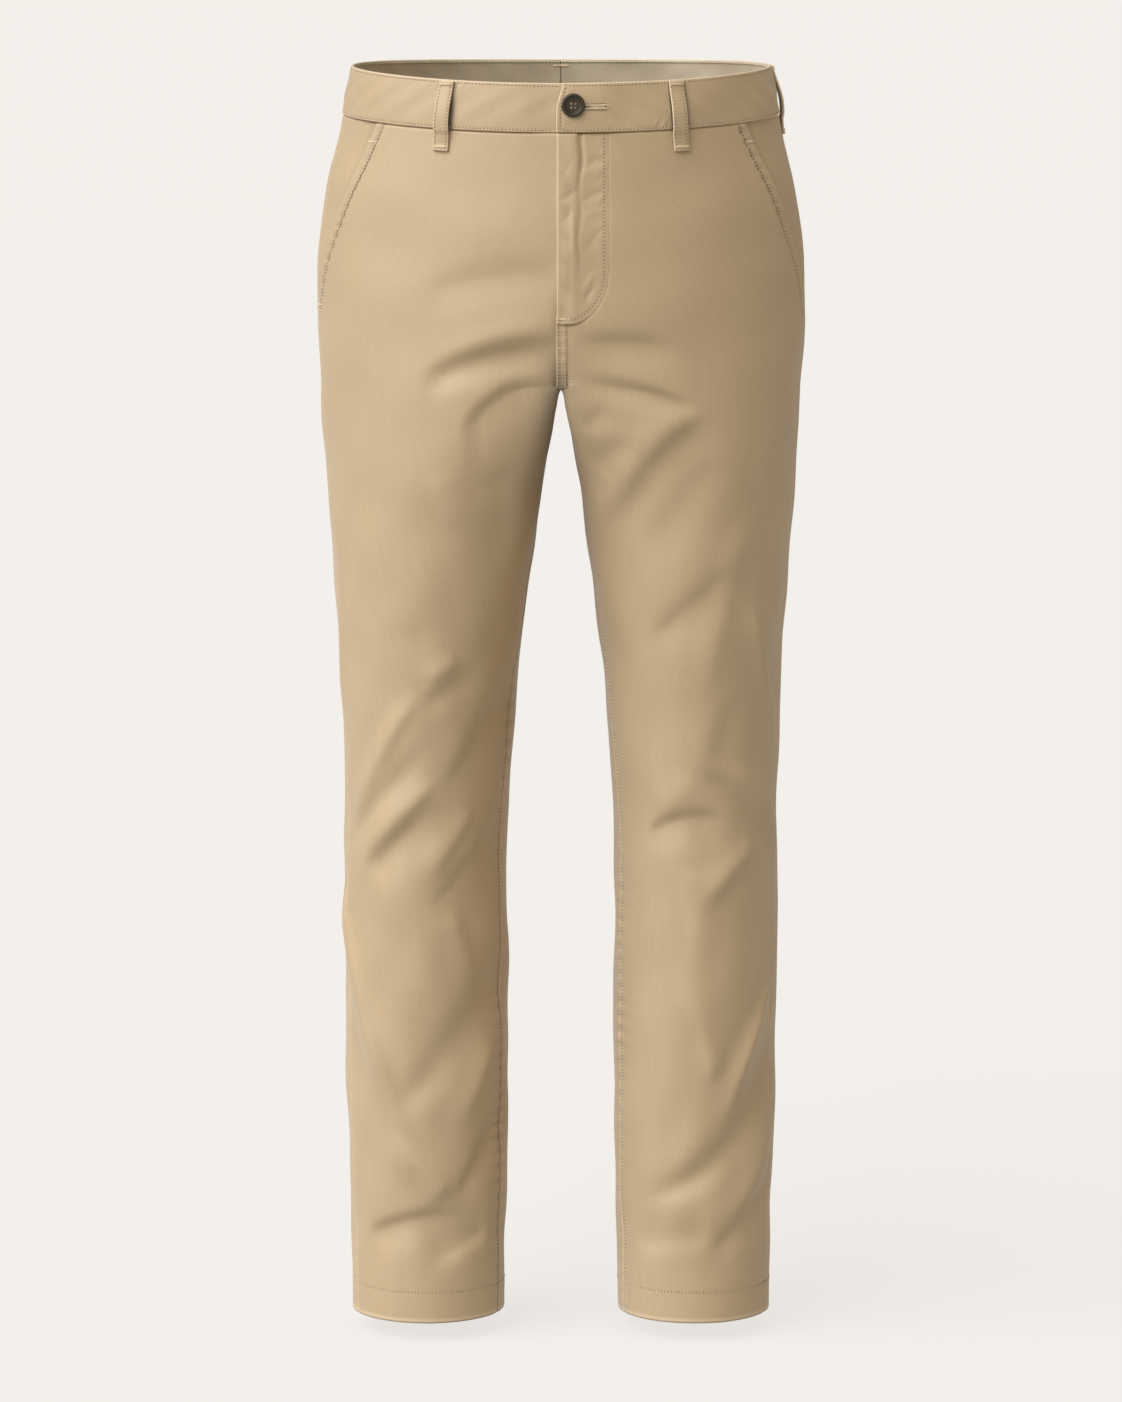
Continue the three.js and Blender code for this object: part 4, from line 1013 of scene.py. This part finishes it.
def thread_material(name, colour):
    """Spun thread: a soft gloss and a small change of tone from stitch to stitch."""
    material, tree, surface = new_material(name, {"Roughness": 0.6, "Sheen Weight": 0.2})
    place = tree.nodes.new("ShaderNodeTexCoord").outputs["Object"]
    dark, pale = (tuple(channel * tone for channel in colour[:3]) + (1,) for tone in (0.72, 1.25))
    toned = blend_node(tree, noise_node(tree, place, 400, 2), dark, pale)
    tree.links.new(toned, surface.inputs["Base Color"])
    raise_surface(tree, surface, noise_node(tree, place, 3000, 2), 0.4, 0.0001)
    return material


khaki_thread = thread_material("Khaki thread", (0.70, 0.56, 0.38, 1))
# A dark copy of the thread for the needle holes between stitches: painted shade.
needle_hole_painted_shade = thread_material("Thread in painted shade", (0.110, 0.070, 0.034, 1))


def faces_of(*pieces):
    """The faces of pieces, for laying things on them."""
    trees = []
    for piece in pieces:
        spots, polygons = piece.data.vertices, piece.data.polygons
        trees.append(BVHTree.FromPolygons([spot.co for spot in spots], [face.vertices for face in polygons]))
    return trees


def lay(point, lean, trees):
    """The outermost place on the cloth at a point seen from outside, and the cloth's direction there."""
    point, lean = Vector(point), Vector(lean)
    hits = [tree.ray_cast(point + lean * 0.008, -lean, 0.016) for tree in trees]
    hits = [hit for hit in hits if hit[0] is not None]
    if not hits:
        return point, lean
    best = min(hits, key=lambda hit: hit[3])
    return best[0], best[1]


def threads(name, starts, ends, leans, trees, thick=THREAD, material=None):
    """Short closed threads from starts to ends that lie on the cloth and dip into it at both ends, and
    between two stitches of one row a dark, sunk copy of the thread that paints the shade of the needle hole."""
    vertices, faces = [], []
    starts, ends, leans = np.array(starts), np.array(ends), np.array(leans)
    between = np.linalg.norm(starts[1:] - ends[:-1], axis=1)
    between = np.flatnonzero((between > 0.0002) & (between < 0.0011)) if material is None else []
    stitches = [(start, end, lean, thick) for start, end, lean in zip(starts, ends, leans)]
    holes = [(ends[i], starts[i + 1], leans[i], thick * 0.9) for i in between]
    for start, end, lean, thick in stitches + holes:
        base = len(vertices)
        course = Vector(end - start).normalized()
        for share, rise, radius in TREAD:
            spot, normal = lay(mix(start, end, share), lean, trees)
            spot = spot + normal * rise * thick
            side = course.cross(normal).normalized()
            if radius == 0:
                vertices.append(spot)
                continue
            for k in range(ROUND):
                turn = 2 * math.pi * k / ROUND
                vertices.append(spot + (side * math.cos(turn) + normal * math.sin(turn)) * radius * thick)
        rings = [base + 1 + ROUND * ring for ring in range(len(TREAD) - 2)]
        last = rings[-1] + ROUND
        for k in range(ROUND):
            n = (k + 1) % ROUND
            faces.append((base, rings[0] + n, rings[0] + k))
            faces.append((last, rings[-1] + k, rings[-1] + n))
            for ring in rings[:-1]:
                faces.append((ring + k, ring + n, ring + ROUND + n, ring + ROUND + k))
    mesh = bpy.data.meshes.new(name)
    mesh.from_pydata(vertices, [], faces)
    mesh.materials.append(material or khaki_thread)
    mesh.materials.append(needle_hole_painted_shade)
    each = len(faces) // (len(stitches) + len(holes))
    mesh.polygons.foreach_set("material_index", [0] * each * len(stitches) + [1] * each * len(holes))
    mesh.polygons.foreach_set("use_smooth", [True] * len(mesh.polygons))
    piece = bpy.data.objects.new(name, mesh)
    bpy.context.collection.objects.link(piece)
    face_out(piece)
    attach(piece, "root")
    return piece


def run_of(path, leans, pitch=STITCH_PITCH, fill=0.64):
    """Cut a path into stitches. Gives where they start and end, and the way out there."""
    along = distance_along(path)
    count = max(1, int(along[-1] / pitch))
    first = np.arange(count) * along[-1] / count
    last = first + fill * along[-1] / count

    def read(values, at):
        return np.stack([np.interp(at, along, values[:, k]) for k in range(3)], axis=-1)

    return read(path, first), read(path, last), straight(read(leans, (first + last) / 2))


def bar(centre, course, lean, length=0.008, width=0.0018, pitch=0.00055):
    """A bar of closely set stitches. course is the way it runs."""
    course, lean = straight(np.array(course, float)), straight(np.array(lean, float))
    across = np.cross(lean, course)
    offsets = np.arange(-length / 2, length / 2, pitch)[:, None] * course
    starts = centre + offsets - across * width / 2
    return starts, starts + across * width, np.broadcast_to(lean, starts.shape)


def together(*runs):
    return tuple(np.concatenate([run[k] for run in runs]) for k in range(3))


names = ("front_left", "front_right", "back_left", "back_right")
panels = {name: bpy.data.objects[f"{name}_cloth"] for name in names}
for side, leg in (("left", 1), ("right", -1)):
    front_faces, back_faces = faces_of(panels[f"front_{side}"], panels[f"back_{side}"])
    turn = np.linspace(0, 360, 720)
    hem_height = np.full(720, HEM_STITCH)
    path = form(leg, turn, hem_height)
    hem_run = run_of(path, outwards(leg, turn, hem_height))
    threads(f"hem_stitching_{side}", *hem_run, [front_faces, back_faces])

    heights = np.linspace(CROTCH - 0.010, HEM_STITCH, 400)
    turn = inner_seam(heights) - np.degrees(INSIDE_STITCH / section(heights)["forwards"])
    inside_run = run_of(form(leg, turn, heights), outwards(leg, turn, heights))
    threads(f"inside_leg_stitching_{side}", *inside_run, [front_faces])

    heights = np.linspace(BAND_FOOT - 0.005, POCKET_FOOT - 0.001, 120)
    edge_angle = column(MOUTH, MOUTH_HEADS, "angle", np.maximum(heights, POCKET_FOOT))
    line, out = [], []
    for h, a in zip(heights, edge_angle):
        steps = a + np.linspace(0, 12, 60)
        at = np.interp(MOUTH_STITCH, distance_along(form(leg, steps, np.full(60, h))), steps)
        line.append(form(leg, at, h))
        out.append(outwards(leg, at, h))
    line, out = np.array(line), np.array(out)
    mouth_top = form(leg, edge_angle[8], heights[8])
    mouth_foot = form(leg, edge_angle[-8], heights[-8])
    across_top, across_foot = line[8] - mouth_top, line[-8] - mouth_foot
    threads(
        f"pocket_stitching_{side}",
        *together(
            run_of(line, out),
            bar((line[8] + mouth_top) / 2, across_top, out[8]),
            bar((line[-8] + mouth_foot) / 2, across_foot, out[-8]),
        ),
        [front_faces],
    )

band_faces = faces_of(band_left, band_right)
for name, level in (("rim", RIM_STITCH), ("foot", FOOT_STITCH)):
    runs = []
    lap_end = lap_angle(np.array([level]))[0]
    for start, end in ((-89.5, lap_end - 0.9), (lap_end + 0.7, 269.5)):
        turn = np.linspace(start, end, 700)
        level_row = np.full(700, level)
        runs.append(run_of(waist_point(turn, level_row, 0 * turn), outwards(1, turn, level_row)))
    threads(f"waistband_{name}_stitching", *together(*runs), band_faces)
turn = np.linspace(182, 358, 600)
level_row = np.full(600, RIM_STITCH)
inside_row = run_of(waist_point(turn, level_row, -BAND_CLOTH + 0 * turn), -outwards(1, turn, level_row))
box = bar(waist_point(270.0, 0.0150, -BAND_CLOTH), (1, 0, 0), (0, -1, 0), length=0.012, width=0.0022)
threads("waistband_inside_stitching", *together(inside_row, box), band_faces)
heights = np.linspace(RIM_STITCH, FOOT_STITCH, 60)
turn = lap_angle(heights) - 1.05
lap_run = run_of(waist_point(turn, heights, 0 * turn), outwards(1, turn, heights))
threads("waistband_end_stitching", *lap_run, band_faces[:1])

fly_faces = faces_of(fly, panels["front_left"], strip, panels["front_right"])
straight_part = np.linspace(BAND_FOOT - 0.003, FLY_TURNS, 80)
curve = np.linspace(0, math.pi / 2, 60)
fly_x = np.concatenate([np.full(80, FLY_STITCH), FLY_TIP + (FLY_STITCH - FLY_TIP) * np.cos(curve)])
fly_z = np.concatenate([straight_part, FLY_TURNS - (FLY_TURNS - FLY_FOOT) * np.sin(curve)])
ahead = np.broadcast_to([0.0, -1.0, 0.0], (len(fly_x), 3))
fly_path = front_point(fly_x, fly_z, 0 * fly_x)
runs = [run_of(fly_path, ahead)]
for x_line in (STRIP_LEFT + STRIP_STITCH, STRIP_RIGHT - STRIP_STITCH):
    z_line = np.linspace(FLY_FOOT - 0.001, STRIP_FOOT + 0.002, 60)
    path = front_point(np.full(60, x_line), z_line, np.zeros(60))
    runs.append(run_of(path, ahead[:60]))
fly_end = front_point(np.array([0.0005]), np.array([FLY_FOOT + 0.0005]), np.zeros(1))[0]
runs.append(bar(fly_end, (1, 0, 0), (0, -1, 0), length=0.0075))
threads("fly_stitching", *together(*runs), fly_faces)

for place, angle in LOOPS:
    per_metre = 1 / degree_at(angle)
    heights = np.linspace(LOOP_TOP - 0.003, LOOP_FOOT + 0.002, 40)
    runs = []
    for x in (-LOOP_WIDTH / 2 + LOOP_STITCH, LOOP_WIDTH / 2 - LOOP_STITCH):
        turn = np.full(40, angle + x * per_metre)
        path = waist_point(turn, heights, loop_lift(heights) + LOOP_CLOTH)
        runs.append(run_of(path, outwards(1, turn, heights), pitch=0.0025))
    lean = outwards(1, float(angle), 0.0)
    course = np.cross((0, 0, 1), lean)
    for level in (LOOP_TOP - 0.0028, LOOP_FOOT + 0.0030):
        middle = waist_point(float(angle), level, loop_lift(level) + LOOP_CLOTH)
        runs.append(bar(middle, course, lean, length=0.0095, width=0.0016))
    threads(f"belt_loop_{place}_stitching", *together(*runs), faces_of(loops[place]))

# Waist button: a turned button of dark horn-like resin, dished inside a raised rim, with four holes. It is
# sewn through the lapped end of the waistband with a cross of thread and holds the waist closed.
BUTTON_RADIUS = 0.009
BUTTON_X = 0.009
BUTTON_HEIGHT = 0.003
BUTTON_HOLE = 0.0010
BUTTON_HOLE_OUT = 0.0021
BUTTON_CLEAR = 0.0003
BUTTON_BASE = 0.0066
BUTTON_TURNING = (
    (0.0084, 0.0007), (BUTTON_RADIUS, 0.0017), (0.0087, 0.0027), (0.0078, 0.0032),
    (0.0069, 0.0031), (0.0063, 0.0021), (0.0056, 0.0018),
)
bpy.ops.object.select_all(action="DESELECT")
bpy.ops.mesh.primitive_circle_add(vertices=64, radius=BUTTON_BASE, fill_type="NGON")
button = bpy.context.object
button.name = "waist_button_horn"
bpy.ops.object.mode_set(mode="EDIT")
bpy.ops.mesh.select_all(action="SELECT")
last_radius, last_height = BUTTON_BASE, 0
for radius, height in BUTTON_TURNING:
    bpy.ops.mesh.extrude_region_move(TRANSFORM_OT_translate={"value": (0, 0, height - last_height)})
    bpy.ops.transform.resize(value=(radius / last_radius, radius / last_radius, 1))
    last_radius, last_height = radius, height
bpy.ops.mesh.inset(thickness=0.0022, depth=0)
bpy.ops.transform.translate(value=(0, 0, -0.0003))
bpy.ops.object.mode_set(mode="OBJECT")
face_out(button)
drills = []
for turn in (math.pi / 4 + quarter * math.pi / 2 for quarter in range(4)):
    out = (BUTTON_HOLE_OUT * math.cos(turn), BUTTON_HOLE_OUT * math.sin(turn), 0.002)
    bpy.ops.mesh.primitive_cylinder_add(vertices=24, radius=BUTTON_HOLE, depth=0.01, location=out)
    drills.append(bpy.context.object)
for drill in drills:
    cutter = button.modifiers.new("hole", "BOOLEAN")
    cutter.object = drill
    cutter.operation = "DIFFERENCE"
    bpy.context.view_layer.objects.active = button
    bpy.ops.object.modifier_apply(modifier=cutter.name)
    bpy.data.objects.remove(drill)
softened = button.modifiers.new("worn_edges", "BEVEL")
softened.width = 0.00018
softened.segments = 2
softened.limit_method = "ANGLE"
softened.angle_limit = math.radians(28)
bpy.ops.object.modifier_apply(modifier=softened.name)
seat_angle = float(across_angle(BUTTON_X))
seat = waist_point(seat_angle, BUTTON_HEIGHT, BAND_PROUD + LAP_SHIFT + BUTTON_CLEAR + 0.0003)
seat_out = Vector(outwards(1, seat_angle, BUTTON_HEIGHT))
seated = Vector((0, 0, 1)).rotation_difference(seat_out).to_matrix().to_4x4()
seated.translation = Vector(seat)
button.data.transform(seated)
bpy.ops.object.select_all(action="DESELECT")
button.select_set(True)
bpy.ops.object.shade_smooth_by_angle(angle=math.radians(35))

horn, tree, surface = new_material("Dark horn resin", {"Roughness": 0.38, "Specular IOR Level": 0.35})
place = tree.nodes.new("ShaderNodeTexCoord").outputs["Object"]
streaks = noise_node(tree, place, 260, 4, (1, 1, 0.25))
horn_colour = blend_node(tree, streaks, (0.016, 0.012, 0.007, 1), (0.058, 0.042, 0.026, 1))
tree.links.new(horn_colour, surface.inputs["Base Color"])
raise_surface(tree, surface, noise_node(tree, place, 1800, 2), 0.25, 0.0001)
button.data.materials.clear()
button.data.materials.append(horn)
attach(button, "root")
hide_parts("waist_button")

# Dark brown thread: it sews on the button, and as dark pieces it paints the shade in the buttonhole's slit,
# its eye and the needle holes along its edges.
dark_thread_and_painted_shade = thread_material("Brown thread and painted shade", (0.060, 0.042, 0.028, 1))
button_faces = faces_of(button)
seat_x = straight(np.cross((0, 0, 1), np.array(seat_out)))
seat_up = np.cross(np.array(seat_out), seat_x)
face = np.array(seat) + np.array(seat_out) * 0.0019
starts, ends = [], []
for first, second in ((0, 2), (1, 3)):
    for side in (-0.00025, 0.00025):
        a = math.pi / 4 + math.pi / 2 * first
        hole = (seat_x * math.cos(a) + seat_up * math.sin(a)) * BUTTON_HOLE_OUT
        beside = (seat_x * -math.sin(a) + seat_up * math.cos(a)) * side
        starts.append(face + hole * 0.95 + beside)
        ends.append(face - hole * 0.95 + beside)
leans = np.broadcast_to(np.array(seat_out), (4, 3))
threads("waist_button_thread", starts, ends, leans, button_faces, thick=0.00026, material=dark_thread_and_painted_shade)

# Buttonhole: a slit from under the button towards the wearer's left, worked round with close purl stitches
# and finished with a round eye at its end.
HOLE_FROM, HOLE_TO = 0.0150, 0.0325
HOLE_LEVEL = 0.0018
HOLE_REACH = 0.0016
EYE = 0.0016


def on_lap(x, height):
    """A place on the lapped end and the way out there, by distance across and height on the waistband."""
    angle = across_angle(np.asarray(x, float))
    height = np.asarray(height, float) + 0 * angle
    return waist_point(angle, height, BAND_PROUD + LAP_SHIFT + 0 * angle), outwards(1, angle, height)


purl_x = np.arange(HOLE_FROM, HOLE_TO, 0.00052)
runs = []
for side in (-1, 1):
    slit, lean = on_lap(purl_x, HOLE_LEVEL + side * 0.0003)
    outer, _ = on_lap(purl_x, HOLE_LEVEL + side * (0.0003 + HOLE_REACH))
    runs.append((slit, outer, lean))
turns = np.radians(np.arange(-135, 136, 18))
eye_x = HOLE_TO + EYE * 0.8
slit, lean = on_lap(eye_x + 0.0006 * np.cos(turns), HOLE_LEVEL + 0.0006 * np.sin(turns))
outer, _ = on_lap(eye_x + EYE * 1.35 * np.cos(turns), HOLE_LEVEL + EYE * 1.35 * np.sin(turns))
runs.append((slit, outer, lean))
threads("buttonhole_stitching", *together(*runs), band_faces[:1], thick=0.00034)
# Dark pieces that paint the shade in the slit, in the eye and in the needle holes along both edges.
slit_start, lean = on_lap([HOLE_FROM - 0.004], HOLE_LEVEL)
slit_end, _ = on_lap([HOLE_FROM + 0.0085], HOLE_LEVEL)
eye_start, _ = on_lap([eye_x - 0.0008], HOLE_LEVEL)
eye_end, _ = on_lap([eye_x + 0.0008], HOLE_LEVEL)
border_x = np.arange(HOLE_FROM + 0.001, HOLE_TO + 0.002, 0.0017)
painted_shade_runs = (slit_start, slit_end, lean), (eye_start, eye_end, lean)
for level in (HOLE_LEVEL - HOLE_REACH - 0.0007, HOLE_LEVEL + HOLE_REACH + 0.0007):
    border, border_lean = on_lap(border_x, level)
    painted_shade_runs += ((border, on_lap(border_x + 0.0008, level)[0], border_lean),)
threads("buttonhole_painted_shade", *together(*painted_shade_runs), band_faces[:1], thick=0.00045, material=dark_thread_and_painted_shade)

# Floor, light and camera: a pale studio floor just under the hems inside a pale dome that gives no light,
# one large soft light from the viewer's upper left, a weak one from the right and an even one from all
# round, and the camera square to the front at waist height, looking a little down.
PALE = (0.896, 0.863, 0.823, 1)
FLOOR_GLOW = (0.771, 0.746, 0.718, 1)
FLOOR = -0.983


def backdrop_material(name, albedo, glow):
    """Matt paper of one pale colour that also glows, so that shadows on it stay faint."""
    paper = {"Base Color": tuple(albedo * channel for channel in PALE[:3]) + (1,), "Roughness": 0.95}
    shining = {"Specular IOR Level": 0, "Emission Color": glow, "Emission Strength": 1}
    return new_material(name, {**paper, **shining})[0]


bpy.ops.object.select_all(action="DESELECT")
bpy.ops.mesh.primitive_plane_add(size=60, location=(0, 0, FLOOR))
floor = bpy.context.object
floor.name = "studio_floor"
floor.visible_diffuse = False
floor.data.materials.append(backdrop_material("Pale floor", 0.11, FLOOR_GLOW))
bpy.ops.mesh.primitive_uv_sphere_add(segments=48, ring_count=24, radius=24)
dome = bpy.context.object
dome.name = "studio_dome"
dome.data.materials.append(backdrop_material("Pale dome", 0, PALE))
for ray in ("diffuse", "glossy", "transmission", "volume_scatter", "shadow"):
    setattr(dome, f"visible_{ray}", False)

world = bpy.data.worlds.new("Studio")
world.use_nodes = True
world.node_tree.nodes["Background"].inputs["Color"].default_value = (1.0, 0.87, 0.64, 1)
world.node_tree.nodes["Background"].inputs["Strength"].default_value = 0.355
bpy.context.scene.world = world

for name, energy, softness, colour, tip, turn in (
    ("key_light", 4.15, 60, (0.98, 1, 1.04), 48, -53),
    ("fill_light", 0.45, 90, (1, 0.94, 0.86), 62, 58),
):
    light = bpy.data.lights.new(name, "SUN")
    light.energy = energy
    light.angle = math.radians(softness)
    light.color = colour
    light_object = bpy.data.objects.new(name, light)
    light_object.rotation_euler = (math.radians(tip), 0, math.radians(turn))
    bpy.context.collection.objects.link(light_object)

camera = bpy.data.cameras.new("camera")
camera.lens = 125
camera.sensor_width = 36
camera_object = bpy.data.objects.new("camera", camera)
camera_object.location = (0, -3.8, 0.04)
camera_object.rotation_euler = (math.radians(90 - 7.7476), 0, 0)
bpy.context.collection.objects.link(camera_object)
bpy.context.scene.camera = camera_object
bpy.context.scene.view_settings.view_transform = "Standard"
